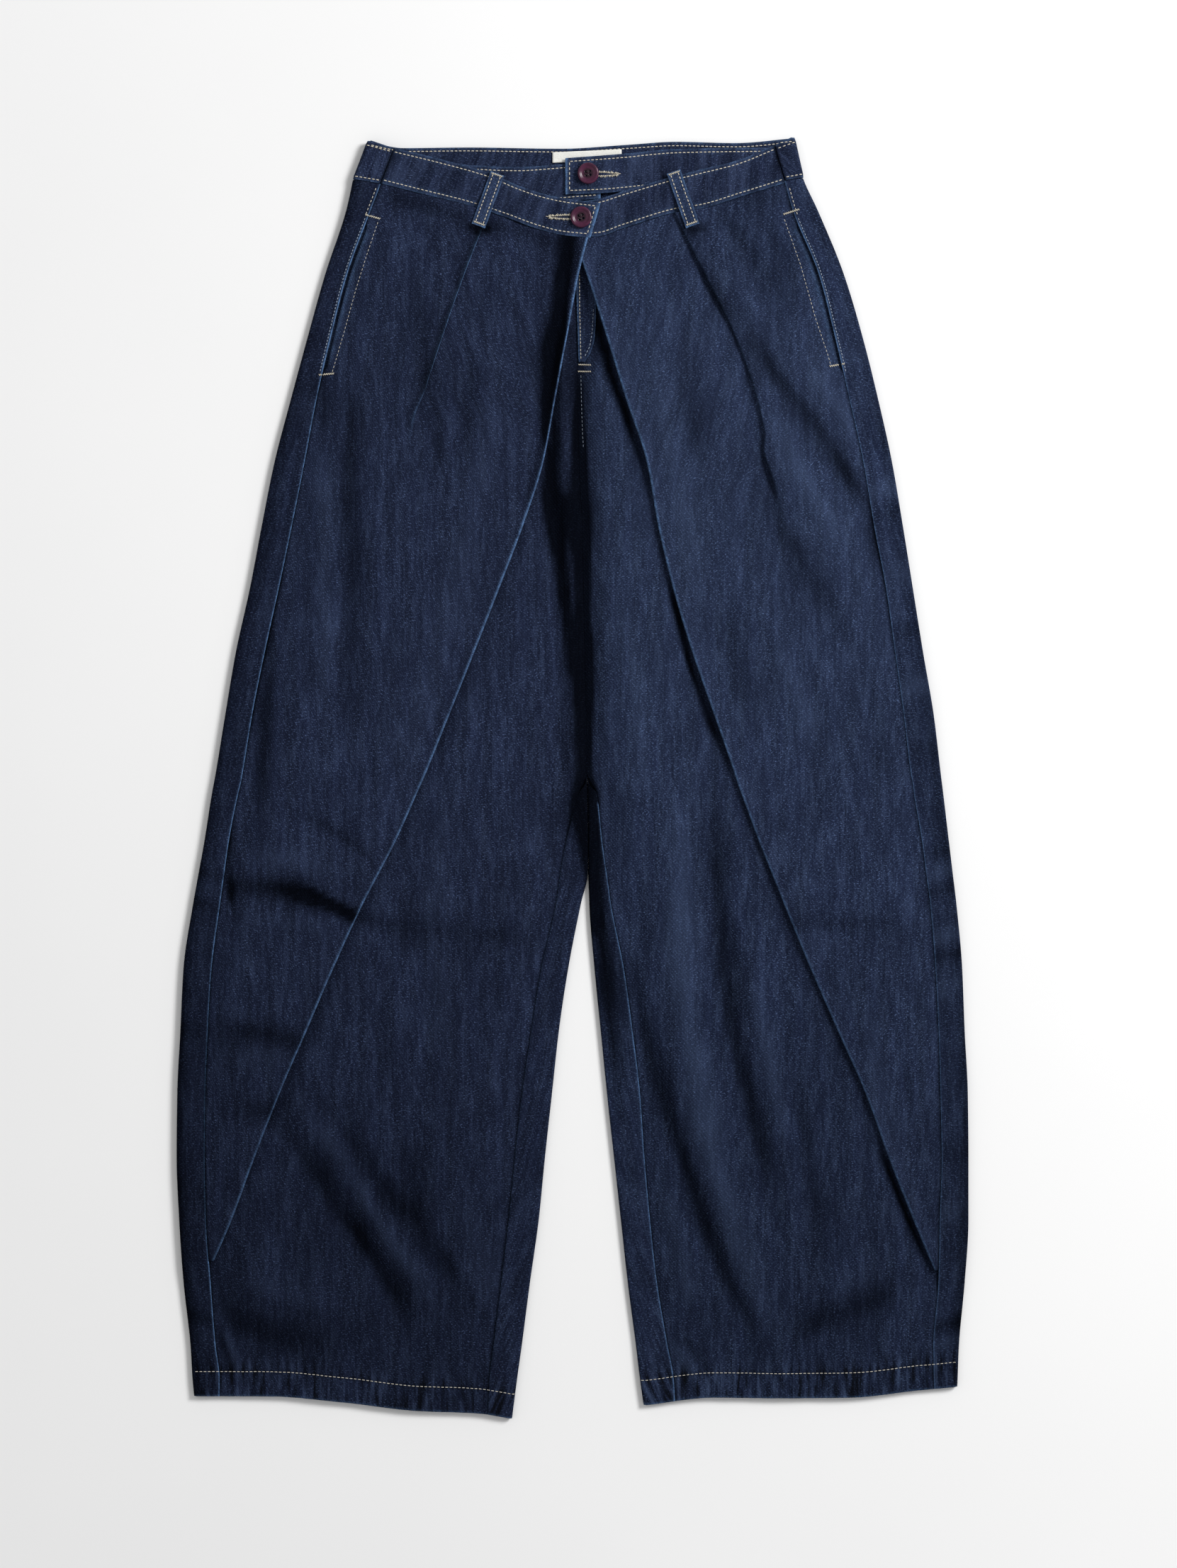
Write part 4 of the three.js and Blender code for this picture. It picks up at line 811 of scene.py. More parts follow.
# Near black for the painted shade, a darker blue for the slubs, and the pale blue of wear.
NEAR_BLACK, SLUB_DARK, WORN = (0.0008, 0.0011, 0.0022), (0.0035, 0.0048, 0.011), (0.095, 0.185, 0.36)
denim_left = denim(
    "denim_left", (0.0049, 0.0076, 0.0208), (0.0098, 0.0149, 0.0400), (0.048, 0.071, 0.143))
denim_right = denim(
    "denim_right", (0.0064, 0.0102, 0.0270), (0.0130, 0.0200, 0.0520), (0.058, 0.088, 0.172))
denim_band = denim(
    "denim_band", (0.0058, 0.0092, 0.0255), (0.0120, 0.0185, 0.0480), (0.052, 0.075, 0.148), 1.2)
denim_facing = denim(
    "denim_facing", (0.006, 0.010, 0.025), (0.012, 0.020, 0.050), (0.05, 0.08, 0.15))

TWIST = (2600, 2600, 2600)
thread = plain_cloth("thread_cream", (0.42, 0.38, 0.29), (0.66, 0.61, 0.50), TWIST, 0.7)
thread_grey = plain_cloth("thread_grey", (0.36, 0.34, 0.29), (0.56, 0.53, 0.46), TWIST, 0.7)
thread_pale = plain_cloth("thread_blue", (0.16, 0.22, 0.32), (0.36, 0.40, 0.46), TWIST, 0.7)
thread_dark = plain_cloth("thread_dark", (0.012, 0.005, 0.009), (0.022, 0.009, 0.016), TWIST, 0.6)
label_cloth = plain_cloth("label_cloth", (0.66, 0.66, 0.62), (0.78, 0.78, 0.74), (900, 1400, 900))

resin = Look("button_resin", 0.27, 0.34)
resin_cloud = resin.noise(resin.node("ShaderNodeTexCoord").outputs["Object"], (190, 240, 190), detail=4.0)
# Painted shade: a vertex colour darkens the button's dish in the middle.
resin_dish_shade = resin.node("ShaderNodeVertexColor", layer_name="dish").outputs["Color"]
resin_body = resin.blend(resin.ramp(resin_cloud, 0.35, 0.65), (0.036, 0.005, 0.021), (0.064, 0.011, 0.037))
resin.colour(resin.blend(resin.times(resin_dish_shade, 0.9), resin_body, (0.010, 0.002, 0.007)))


# The legs' panels

EDGE = [0.0, 0.35, 0.8, 1.4, 2.2, 3.4, 5.0]


def back_panel(leg, material):
    rows = []
    share_a, add_a = spread(EDGE, 4, [0.0])
    share_b, add_b = spread([2.0, 5.0], 78, [0.0, 1.5, 4.0])
    steps = np.array([0.12, 0.3, 0.5, 0.7, 0.85, 0.93, 0.97, 1.0])
    for v in stations(leg, WAIST_LINE):
        section = Section(leg, v, waist_line, WAIST_LINE)
        height = float(section.put(lambda y: leg.sign * leg.edge(y))[1])
        side = float(side_level(leg, height))
        round_ = (side - BACK) / 2

        def seam(y):
            return leg.sign * leg.side(y)

        def brow(y):
            return leg.sign * leg.edge(y) - round_ - CLOTH / 2

        def strip_level(x, y):
            strip = leg.sign * (x - leg.side(y))
            bulge = (0.4 + 0.9 * strip_folds(leg, y - 0.3 * strip)) * bell(strip, 7, 9)
            level = side + bulge + hem_pucker(leg, x, y, v)
            level[-1] = side
            return level

        section.add(lambda at: seam(at) + (brow(at) - seam(at)) * share_a + add_a, strip_level)
        bend = turn((0, side), 0, -math.pi, round_, 10)
        section.add(lambda at: brow(at) + bend[:, 0], bend[:, 1])

        # Below the crotch the inner edge rolls up and over towards the inseam.
        roll = mix(FLAT_ROLL, math.pi, float(clamp((CROTCH - height) / ROLL_DEPTH)))
        radius = (float(inseam_level(height)) - BACK) / 2
        curl = np.vstack([[0, 0], turn((0, 0), 0, roll, radius)])
        tip = curl[-1] + np.array([math.cos(roll), math.sin(roll)])
        reach = max(curl[:, 0].max(), tip[0]) + CLOTH / 2 * float(clamp(roll - FLAT_ROLL))
        rolled = float(smooth(CROTCH - 6, CROTCH - ROLL_DEPTH, height))

        def foot(y):
            return leg.sign * leg.inner(y) + mix(0.05, 0.3, smooth(-70, -95, y)) + reach

        def flap(y):
            ending = mix(foot(y) - tip[0], leg.sign * leg.inseam(y), rolled)
            return mix(foot(y) - curl[-1, 0], ending, steps)

        def flap_level(x, y):
            bulge = 0.3 * np.sin(np.pi * steps) * rolled
            return mix(BACK + curl[-1, 1], BACK + tip[1], steps) + bulge + hem_pucker(leg, x, y, v)

        section.add(lambda at: brow(at) + (foot(at) - brow(at)) * share_b - add_b, BACK)
        section.add(lambda at: foot(at) - curl[1:, 0], BACK + curl[1:, 1])
        section.add(flap, flap_level)
        rows.append(section.points())
    points = np.array(rows)
    x, y = points[:, :, 0], points[:, :, 1]
    run = arc(points, 1)
    from_end = run[:, -1:] - run
    over, look = over_hem(leg, x, y), leg.look
    wear = look["seam_wear"] * bell(run, 0.75)
    wear += look["inseam_wear"] * bell(from_end, 0.75) * (y[:, -1:] < -20)
    pocket = smooth(316, 332, y) * (1 - smooth(432, 446, y))
    wear += 0.45 * pocket * bell(run, 1.1)
    wear += 0.30 * bell(y - leg.hem(x), 1.0)
    strip = smooth(46, 16, run)
    folds = strip_folds(leg, y - 0.3 * leg.sign * (x - leg.side(y)))
    below = smooth(8, -10, y)
    upper = 1.0 if leg is LEFT else smooth(260, 40, y)
    # Painted shade: the strips beside the side seams (the left one all its length), the hollows of their
    # folds, the cloth turning down at the outline, and the flap by the inseam with the valley between the
    # legs; a dark line along the left inseam, and darker towards the hem.
    dark = look["strip_painted_shade"] * strip * upper + 0.30 * strip * clamp(-folds) + 0.30 * smooth(60, -460, y)
    flap_painted_shade = 0.06 + smooth(-300, -60, y) * look["flap_painted_shade"] + valley(x, y)
    dark += smooth(34, 22, from_end) * below * flap_painted_shade
    dark += look["inseam_dark"] * bell(from_end, 0.9) * below
    dark += 0.35 * bell(run, 5, 21)
    dark *= 1 - 0.85 * clamp(1.3 * wear)
    # Painted highlight on the crests of the strips' folds.
    pale = 0.45 * strip * clamp(folds) * look["strip_painted_highlight"]
    uv = np.stack([run - 240, y], axis=-1)
    sheet(f"back_{leg.name}", points, tones(wear, dark, pale, puckered(over)), uv, material,
          "floor", inside=CLOTH / 2 + smooth(0.0, -1.2, over), flip=leg.sign)


def front_panel(leg, material):
    share, add = spread([0.0, 0.4, 0.9, 1.6, 2.6, 4.0, 6.0, 8.5, 11.5, 15.0, 19.0, 24.0], 80, EDGE)
    rows = []

    def outward(y):
        start = leg.sign * leg.inseam(y) + mix(0.15, 0.35, smooth(CROTCH, CROTCH - 12, y))
        end = leg.sign * leg.side(y) - 0.35
        return start + (end - start) * share + add

    for v in stations(leg, FRONT_TOP):
        section = Section(leg, v, lambda x: leg.under(x) - BAND_GAP, FRONT_TOP)
        section.add(outward, lambda x, y: inner_level(leg, x, y) + hem_pucker(leg, x, y, v))
        rows.append(section.points())
    points = np.array(rows)
    x, y = points[:, :, 0], points[:, :, 1]
    over = over_hem(leg, x, y)
    away = leg.sign * (x - leg.inseam(y))
    to_side = leg.sign * (leg.side(y) - x)
    to_fold = leg.sign * (leg.fold(y) - x)
    # Painted shade and highlight from shading(), painted shade in the centre valley and along the inseam
    # above the crotch, beside the overlay's fold and in the groove at the hem's top; thin dark lines at the
    # inseam below the crotch and at the side seam.
    dark, pale = shading(leg, x, y)
    dark += valley(x, y)
    dark += 0.75 * bell(away, 5.0) * smooth(320, 262, y) * smooth(-40, 0, y)
    dark += 0.45 * bell(away, 1.3) * smooth(0, -20, y)
    dark += 0.45 * bell(to_side, 1.3)
    dark += 0.25 * bell(to_fold, 8, 2) * smooth(leg.tip, leg.tip + 160, y)
    dark += 0.30 * bell(over, 1.3, -0.5)
    uv = np.stack([x, arc(points, 0)], axis=-1)
    wear = 0.30 * bell(y - leg.hem(x), 1.0)
    sheet(f"front_{leg.name}", points, tones(wear, dark, pale, puckered(over)), uv, material,
          f"back_{leg.name}_cloth", inside=CLOTH / 2 + smooth(0.0, -1.2, over), flip=leg.sign)


def opening(y):
    """How far the pocket's edge lies back from the side seam."""
    return 2.0 * (smooth(320, 328, y) - smooth(434, 442, y))


def overlay_panel(leg, material):
    round_ = STEP / 2
    share_in, add_in = spread([0.0, 1.0, 3.0], 8, EDGE[:6])
    near = [0.0, 0.3, 0.7, 1.2, 1.8, 2.6, 3.6, 5.0, 7.0, 9.5, 12.5, 16.0, 20.0, 25.0]
    share_top, add_top = (part[1:] for part in spread(near, 26, [0.0]))
    rest = np.concatenate([np.linspace(0.02, 0.9, 24), [0.94, 0.965, 0.98, 0.99, 0.996, 1.0]])
    tuck_run_steps = np.linspace(0, 1, 6)[1:]

    def fold(y):
        return leg.sign * leg.fold(y)

    def seam(y):
        return leg.sign * leg.side(y) - BAND_GAP - opening(y)

    def pinch(x, y):
        return leg.ridge(y) * bell(leg.sign * x - fold(y), 5.5)

    def crest(y):
        return fold(y) + CLOTH / 2 + round_

    def low(x, y):
        return inner_level(leg, x, y) + STEP + 0.3 + lift(leg, x, y) + pinch(x, y)

    rows = []
    for v in stations(leg, OVERLAY_TOP, leg.tip):
        section = Section(leg, v, lambda x: leg.over(x) - BAND_GAP, OVERLAY_TOP)
        fold_y = float(section.put(fold)[1])
        width = float(seam(fold_y) - fold(fold_y))
        turned = min(TURN_IN, 0.45 * width)

        def over(x, y):
            share = clamp((leg.sign * x - fold(y) - turned) / (seam(y) - fold(y) - turned))
            plain = inner_plain(leg, x, y) + 2 * STEP + 0.3 + lift(leg, x, y)
            base = mix(plain, side_level(leg, y), smooth(0, 1, share))
            return base + relief(leg, x, y) + pinch(x, y)

        squeeze = float(clamp(turned / 10))
        section.add(lambda at: mix(fold(at) + turned, crest(at), share_in) - add_in * squeeze, low)
        bend = turn((0, section.parts[0][-1, 2]), math.pi, -math.pi, round_)
        section.add(lambda at: crest(at) + bend[:, 0], bend[:, 1])

        # The small tuck: up and back over itself, and then on again.
        tuck_y = float(section.put(lambda at: leg.sign * leg.tuck_edge(at))[1])
        on_tuck = float(smooth(leg.tuck_start - 10, leg.tuck_start + 10, tuck_y))
        angle = min(math.pi, math.pi * float(smooth(leg.tuck_end, leg.tuck_start, tuck_y)) + 0.06)
        radius = min(math.pi * round_, 0.1 * width) / angle
        depth = 0.01 * width if angle < math.pi else float(leg.tuck_depth(tuck_y))
        first = turn((0, 0), 0, angle, radius)
        back = first[-1] + tuck_run_steps[:, None] * np.array([[math.cos(angle), math.sin(angle)]]) * depth
        tuck = np.vstack([first, back, turn(back[-1], angle, -angle, radius)])
        under = (depth + radius + CLOTH / 2) * ((1 - math.cos(angle)) / 2)
        end_out, rise = tuck[-1]

        def start(y):
            return mix(mix(fold(y), seam(y), 0.55), leg.sign * leg.tuck_edge(y), on_tuck) + under

        squeeze = float(clamp(0.8 * (start(fold_y) - crest(fold_y)) / 27))
        section.add(lambda at: crest(at) + (start(at) - crest(at)) * share_top + add_top * squeeze, over)
        section.add(lambda at: start(at) + tuck[:, 0], section.parts[-1][-1, 2] + tuck[:, 1])

        # Past the tuck the cloth comes down to the panel's level again.
        clear = radius + CLOTH
        room = float(seam(fold_y) - start(fold_y)) - max(0, -end_out) - clear
        tuck_level = section.parts[-1][-1, 2]

        def sunk(x, y):
            sink = smooth(clear, clear + min(28, max(2, room)), leg.sign * x - start(y))
            level = over(x, y)
            gap = tuck_level - (float(level[0]) + rise)
            return level + (rise + gap) * (1 - sink)

        section.add(lambda at: mix(start(at) + end_out, seam(at), rest), sunk)
        rows.append(section.points())
    points = np.array(rows)
    x, y = points[:, :, 0], points[:, :, 1]
    run, look = arc(points, 1), leg.look
    from_end = run[:, -1:] - run
    crest_at = len(share_in) + TURN_STEPS // 2
    tuck_at = len(share_in) + TURN_STEPS + len(share_top) + len(tuck_run_steps) + TURN_STEPS + 3
    past_crest, past_tuck = run - run[:, crest_at:crest_at + 1], run - run[:, tuck_at:tuck_at + 1]
    folded = smooth(leg.tuck_end - 20, leg.tuck_start + 40, y)
    uneven = 0.82 + 0.18 * np.sin(y / 17.0 + 1.3 * np.sin(y / 7.0)) * np.sin(y / 41.0)
    wear = look["fold_wear"] + look["fold_wear_up"] * smooth(-100, 300, y)
    wear = wear * bell(past_crest, 0.9, 0.3) * uneven
    wear += look["tuck_wear"] * bell(past_tuck, 0.9) * folded
    pocket = smooth(322, 340, y) * smooth(446, 430, y)
    wear += pocket * (0.22 * bell(from_end, 1.4, 1.5) + 0.03 * smooth(12, 4, from_end))
    # Painted shade and highlight from shading(), a dark line at the seam end, painted shadow beside the tuck,
    # and the painted shadows past the fold's crest.
    dark, pale = shading(leg, x, y)
    dark += 0.45 * bell(from_end, 1.3)
    dark += look["tuck_painted_shadow"] * bell(np.maximum(0, past_tuck), 5) * (past_tuck > 0.6) * folded
    dark += painted_shadow(x, y) * (np.arange(points.shape[1])[None, :] > crest_at + 2)
    uv = np.stack([leg.side(y) - leg.sign * from_end, arc(points, 0)], axis=-1)
    sheet(f"front_overlay_{leg.name}", points, tones(wear, dark, pale), uv, material,
          f"front_{leg.name}_cloth", flip=leg.sign)


for leg, material in ((LEFT, denim_left), (RIGHT, denim_right)):
    back_panel(leg, material)
    front_panel(leg, material)
    overlay_panel(leg, material)


# The fly and the pockets' facings

def fly():
    start_line, end_line = curve(FLY, 0, 1), curve(FLY, 0, 2)
    share = np.array([0, 0.03, 0.08, 0.16, 0.28, 0.42, 0.56, 0.7, 0.82, 0.91, 0.96, 1.0])
    rows = []
    for y in np.linspace(455, 330, 64):
        start, end = float(start_line(y)), float(end_line(y))
        x = mix(start, end, share)
        at = np.full(x.shape, y)
        z = inner_level(RIGHT, np.maximum(x, 4.0), at) + STEP
        swell = 0.2 * np.sin(np.pi * (x - start) / (end - start))
        z += 0.25 * np.sin(at / 4.3 + x / 3.0) * smooth(352, 338, y) + swell
        rows.append(np.stack([x, at, z], axis=1))
    points = np.array(rows)
    run = arc(points, 1)
    wear = 0.7 * bell(run, 1.1) + 0.35 * bell(run[:, -1:] - run, 0.8)
    sheet("fly_placket", points, tones(wear, 0.15), points[:, :, :2], denim_right,
          "front_right_cloth", (0.016, 0.126))


def facing(leg):
    rows = []
    for y in np.linspace(446, 316, 44):
        x = leg.side(y) + leg.sign * np.array([-5, -4.2, -3, -1.5, 0, 1.5, 3, 4.2, 5.2])
        z = side_level(leg, y) - CLOTH / 2 - FACING_HALF - FACING_GAP + 0.12 * np.sin(y / 6.0)
        rows.append(np.stack(np.broadcast_arrays(x, y, z), axis=1))
    points = np.array(rows)
    sheet(f"pocket_facing_{leg.name}", points, tones(np.zeros(points.shape[:2]), 0.35), points[:, :, :2],
          denim_facing, f"front_{leg.name}_cloth", (0.012, 0.132), FACING_HALF, FACING_HALF,
          leg.sign)


fly()
facing(LEFT)
facing(RIGHT)


# The waistbands

DOWN = np.array([0, 0.02, 0.05, 0.09, 0.13, 0.18, 0.25, 0.34, 0.43, 0.52, 0.61, 0.7, 0.77, 0.83,
                 0.88, 0.92, 0.955, 0.98, 1.0])


def band_swell(down, run, seed):
    """The pressed edges, the stitched lines and the soft puckers of a waistband."""
    lines = bell(down, 0.035, 0.115) + bell(down, 0.035, 0.885)
    middle = np.sin(np.pi * clamp((down - 0.1) / 0.8)) ** 0.6
    pucker = np.sin(run / 2.3 + 1.7 * np.sin(run / 13.0 + seed) + down) * (lines * 0.14 + 0.20 * middle)
    soft = 0.34 * np.sin(run / 7.0 + 1.5 * np.sin(run / 17.0) + seed) * middle
    return 0.35 * middle - 0.28 * lines + pucker + soft


def band_tables(line, share):
    """The x of a band's top and bottom edge, and its curves, at shares of its length."""
    first, last = line[0], line[-1]
    return (mix(first[0], last[0], share), mix(first[2], last[2], share),
            curve(line, 0, 1), curve(line, 2, 3))


def uneven_edge(run, seed):
    return 0.65 + 0.35 * np.sin(run / 7.0 + seed) * np.sin(run / 2.9)


def band(name, line, seed, free, rests_on):
    """One end of a waistband. Its free end is worn and the other one dark: "a" starts, "b" ends it."""
    length = math.dist(line[0][:2], line[-1][:2])
    near = np.array([0, 0.6, 1.3, 2.2, 3.4])
    middle = np.linspace(5, length - 5, int(length / 1.6))
    share = np.concatenate([near, middle, length - near[::-1]]) / length
    top_x, low_x, high, low = band_tables(line, share)
    level = curve(line, 0, 4)(top_x)
    rows = []
    for down in DOWN:
        x = mix(top_x, low_x, down)
        y = mix(high(top_x), low(low_x), down)
        swell = band_swell(down, share * length, seed)
        z = level + swell * smooth(0, 3, share * length) * smooth(0, 3, (1 - share) * length)
        rows.append(np.stack([x, y, z], axis=1))
    points = np.array(rows)
    down = np.broadcast_to(DOWN[:, None], points.shape[:2])
    run = arc(points, 1)
    from_end = run[:, -1:] - run
    uneven = uneven_edge(run, seed)
    wear = (0.42 * bell(down, 0.035) + 0.42 * bell(1 - down, 0.035)) * uneven
    wear += 0.10 * bell(down, 0.05, 0.115) * uneven + 0.10 * bell(down, 0.05, 0.885)
    wear += 0.95 * (bell(run, 1.4) if free == "a" else bell(from_end, 1.8))
    # Painted shade and highlight in soft waves along the band, standing in for the shading of its puckers,
    # and the gathers' painted shade and highlight; the end that is not free is darker.
    wave = np.sin(run / 8.0 + seed) * np.sin(run / 4.1 + down * 2.4 + 1.3 * np.sin(run / 19.0))
    dark = 0.7 * bell(from_end if free == "a" else run, 1.6) + 0.34 * clamp(wave)
    half = 0.55 + 0.45 * smooth(0, 0.1, down) * smooth(1, 0.9, down)
    uv = np.stack([run + seed * 40, -down * 29 + seed * 37], axis=-1)
    sheet(name, points, tones(wear, dark, 0.3 * clamp(-wave), 0.30), uv, denim_band, rests_on,
          (length * MM + 0.012, 0.032), half, half)


def back_band():
    level, base = OUTER_LEFT[0][4], 2.6
    top = curve(BACK_TOP, 0, 1)
    round_ = (level - base) / 2
    bend = turn((0, level), 0, -math.pi, round_, 10)
    near = np.array([0, 0.04, 0.1, 0.2, 0.35, 0.5, 0.65, 0.8, 0.9, 1.0])
    rows = []
    for down in DOWN:
        def line_y(x, front=None):
            return mix(top(x) if front is None else front, waist_line(x) + 0.7, down)

        def brow(end):
            return mix(end[3], end[5], down) - end[0] * (round_ + 1.0)

        def wrap(end):
            x = mix(mix(end[1], end[4], down) + end[0] * BAND_GAP, brow(end), near)
            y = line_y(x, mix(end[2], float(top(end[3])), near))
            swell = band_swell(down, near * 20, end[0]) * np.sin(np.pi * near)
            round_x = brow(end) + end[0] * bend[:, 0]
            return np.vstack([np.stack([x, y, level + swell], axis=1),
                              np.stack([round_x, line_y(round_x), bend[:, 1]], axis=1)])

        left_end, right_end = BAND_SIDES
        x = mix(brow(left_end), brow(right_end), np.linspace(0, 1, 170)[1:-1])
        z = base + 0.75 * band_swell(down, x + 200, 5.0) + 0.2
        rows.append(np.vstack([wrap(left_end), np.stack([x, line_y(x), z], axis=1), wrap(right_end)[::-1]]))
    points = np.array(rows)
    down = np.broadcast_to(DOWN[:, None], points.shape[:2])
    run = arc(points, 1)
    wear = (0.45 * bell(down, 0.035) + 0.4 * bell(1 - down, 0.035)) * uneven_edge(run, 0.0)
    # Darker at both ends and a little all along, with the gathers' painted shade and highlight.
    dark = 0.1 + (0.7 * bell(run, 1.4) + 0.7 * bell(run[:, -1:] - run, 1.4))
    half = 0.55 + 0.4 * smooth(0, 0.1, down) * smooth(1, 0.9, down)
    sheet("waistband_back", points, tones(wear, dark, 0.0, 0.25), np.stack([run, -down * 29], axis=-1),
          denim_band, "belt_loop_back_centre_cloth", (0.42, 0.034), half, half, -1)


band("waistband_outer_left", OUTER_LEFT, 1.0, "b", "waistband_inner_left_cloth")
band("waistband_outer_right", OUTER_RIGHT, 2.2, "a", "waistband_inner_right_cloth")
band("waistband_inner_left", INNER_LEFT, 3.1, "b", "waistband_back_cloth")
band("waistband_inner_right", INNER_RIGHT, 4.3, "a", "waistband_back_cloth")
back_band()


# The label and the belt loops

def label():
    left, top_y, low_y, width, slope, level = -15.8, 496.0, 487.9, 54.6, 0.0455, 4.55
    x = left + width * np.linspace(0, 1, 40)
    rows = []
    for t in np.linspace(0, 1, 9):
        z = level + 0.12 * np.sin(x / 7.0) * np.sin(np.pi * t)
        rows.append(np.stack([x, mix(top_y, low_y, t) + slope * (x - left), z], axis=1))
    points = np.array(rows)
    sheet("label_blank", points, tones(np.zeros(points.shape[:2])), points[:, :, :2], label_cloth,
          "waistband_back_cloth", (0.056, 0.0105), 0.3, 0.3)


def loop(name, top, low, levels, rests_on):
    """A belt loop from its top to its bottom, at levels given by shares of its length."""
    across = np.array([-1, -0.97, -0.9, -0.8, -0.66, -0.5, -0.3, 0, 0.3, 0.5, 0.66, 0.8, 0.9, 0.97, 1])
    across = across * LOOP_WIDTH / 2
    length = math.dist(top, low)
    along = np.array([low[0] - top[0], low[1] - top[1]]) / length
    side = np.array([-along[1], along[0]])
    middle = 0.18 * (1 - (across / LOOP_SEAM) ** 2) * (np.abs(across) < LOOP_SEAM)
    rows = []
    for t in np.concatenate([[0, 0.012, 0.03, 0.06], np.linspace(0.09, 0.91, 36), [0.94, 0.97, 0.988, 1.0]]):
        ends = 0.35 * (bell(t, 0.02, 0.02) + bell(t, 0.02, 0.98))
        spot = np.array(top)[None, :] + along[None, :] * t * length + side[None, :] * across[:, None]
        z = np.interp(t, *zip(*levels)) + middle - 0.3 * ends - 0.1 * bell(np.abs(across), 0.6, LOOP_SEAM)
        rows.append(np.column_stack([spot, z]))
    points = np.array(rows)
    down, run = arc(points, 0), arc(points, 1)
    edges = np.maximum(bell(run, 0.9), bell(run[:, -1:] - run, 0.9)) * 0.5
    wear = edges * (0.7 + 0.3 * np.sin(down / 3.1 + top[0])) + 0.5 * bell(down, 1.2)
    wear += 0.6 * bell(length - down, 1.4) + 0.08
    uv = np.stack([np.broadcast_to(across[None, :], points.shape[:2]) + top[0], -down], axis=-1)
    sheet(name, points, tones(wear), uv, denim_band, rests_on,
          (LOOP_WIDTH * MM * 1.02, length * MM * 1.02), 0.5, 0.5, -1)


label()
for side, top, low in FRONT_LOOPS:
    loop(f"belt_loop_front_{side}", top, low, FRONT_LEVELS, f"waistband_outer_{side}_cloth")
for side, x in BACK_LOOPS:
    loop(f"belt_loop_back_{side}", (x, WAIST_LINE + 27), (x, WAIST_LINE + 1), [(0, 0.85), (1, 0.85)], "floor")


# Sewing

class Bundle:
    """Many small threads gathered into one mesh."""

    def __init__(self, name, material):
        self.name, self.material = name, material
        self.verts, self.faces = [], []

    def strand(self, path, radius, sides=6):
        """A closed thread along a path, thin at both ends."""
        path = np.asarray(path, float)
        way = unit(np.gradient(path, axis=0))
        side = unit(np.cross(way, np.array([0, 0, 1.0])))
        rise = np.cross(side, way)
        start = len(self.verts)
        angles = np.linspace(0, 2 * math.pi, sides, endpoint=False)
        sizes = np.full(len(path), radius)
        sizes[0] = sizes[-1] = radius * 0.45
        for k in range(len(path)):
            for a in angles:
                self.verts.append(path[k] + sizes[k] * (side[k] * math.cos(a) + rise[k] * 0.8 * math.sin(a)))
        for k in range(len(path) - 1):
            for s in range(sides):
                a, b = start + k * sides + s, start + k * sides + (s + 1) % sides
                self.faces.append((a, b, b + sides, a + sides))
        end = start + (len(path) - 1) * sides
        self.faces.append(tuple(start + s for s in reversed(range(sides))))
        self.faces.append(tuple(end + s for s in range(sides)))

    def lay(self, read, places, radius, sides=6):
        """A thread over the cloth through x, y and a height over it. It is left out off the cloth."""
        path = []
        for x, y, over in places:
            z = read(x, y)
            if z is None:
                return
            path.append((x, y, z + over))
        self.strand(path, radius, sides)

    def build(self):
        mesh = bpy.data.meshes.new(self.name)
        mesh.from_pydata([tuple(v * MM) for v in self.verts], [], self.faces)
        mesh.polygons.foreach_set("use_smooth", np.ones(len(self.faces), bool))
        work = bmesh.new()
        work.from_mesh(mesh)
        bmesh.ops.recalc_face_normals(work, faces=work.faces)
        work.to_mesh(mesh)
        work.free()
        place(self.name, mesh, self.material)


def finder(*names, below=False):
    """Reads the height of the first surface met from above, or from below."""
    trees = []
    for name in names:
        mesh = pieces[name].data
        faces = [tuple(face.vertices) for face in mesh.polygons]
        trees.append(BVHTree.FromPolygons([v.co for v in mesh.vertices], faces))
    start, way, first = (-0.05, 1, min) if below else (0.08, -1, max)

    def read(x, y):
        hits = [tree.ray_cast(Vector((x * MM, y * MM, start)), Vector((0, 0, way)))[0] for tree in trees]
        heights = [hit.z for hit in hits if hit is not None]
        return first(heights) / MM if heights else None

    return read


def sew(bundle, line, read, pitch=PITCH, length=STITCH, radius=THREAD, below=False):
    """A row of stitches along a line, each laid on the cloth that read finds."""
    line = np.asarray(line, float)
    run = np.concatenate([[0], np.cumsum(np.hypot(*np.diff(line, axis=0).T))])
    count = max(1, int(run[-1] / pitch))
    for middle in (np.arange(count) + 0.5) * run[-1] / count:
        places = []
        for t in (-0.5, -0.3, 0.0, 0.3, 0.5):
            s = middle + t * length
            arch = (0.45 * (1 - (2 * t) ** 2) - 0.12) * (-1 if below else 1)
            places.append((np.interp(s, run, line[:, 0]), np.interp(s, run, line[:, 1]), arch * radius * 1.3))
        bundle.lay(read, places, radius)


def bar_tack(bundle, a, b, read, width=1.6):
    """A dense zigzag of thread across the way from a to b."""
    a, b = np.array(a, float), np.array(b, float)
    length = float(np.linalg.norm(b - a))
    way = (b - a) / length
    side = np.array([-way[1], way[0]])
    count = int(length / 0.75)
    for k in range(count):
        s = (k + 0.5) / count * length
        lean = 0.35 * (1 if k % 2 else -1)
        start, end = a + way * (s - lean) - side * width / 2, a + way * (s + lean) + side * width / 2
        places = [(*mix(start, end, t), 0.1 + 0.35 * math.sin(math.pi * t)) for t in (0, 0.5, 1)]
        bundle.lay(read, places, 0.34, 5)


def upright(ys, x):
    """A line through the given heights, at an x for each of them."""
    return np.stack([x, ys], axis=1)


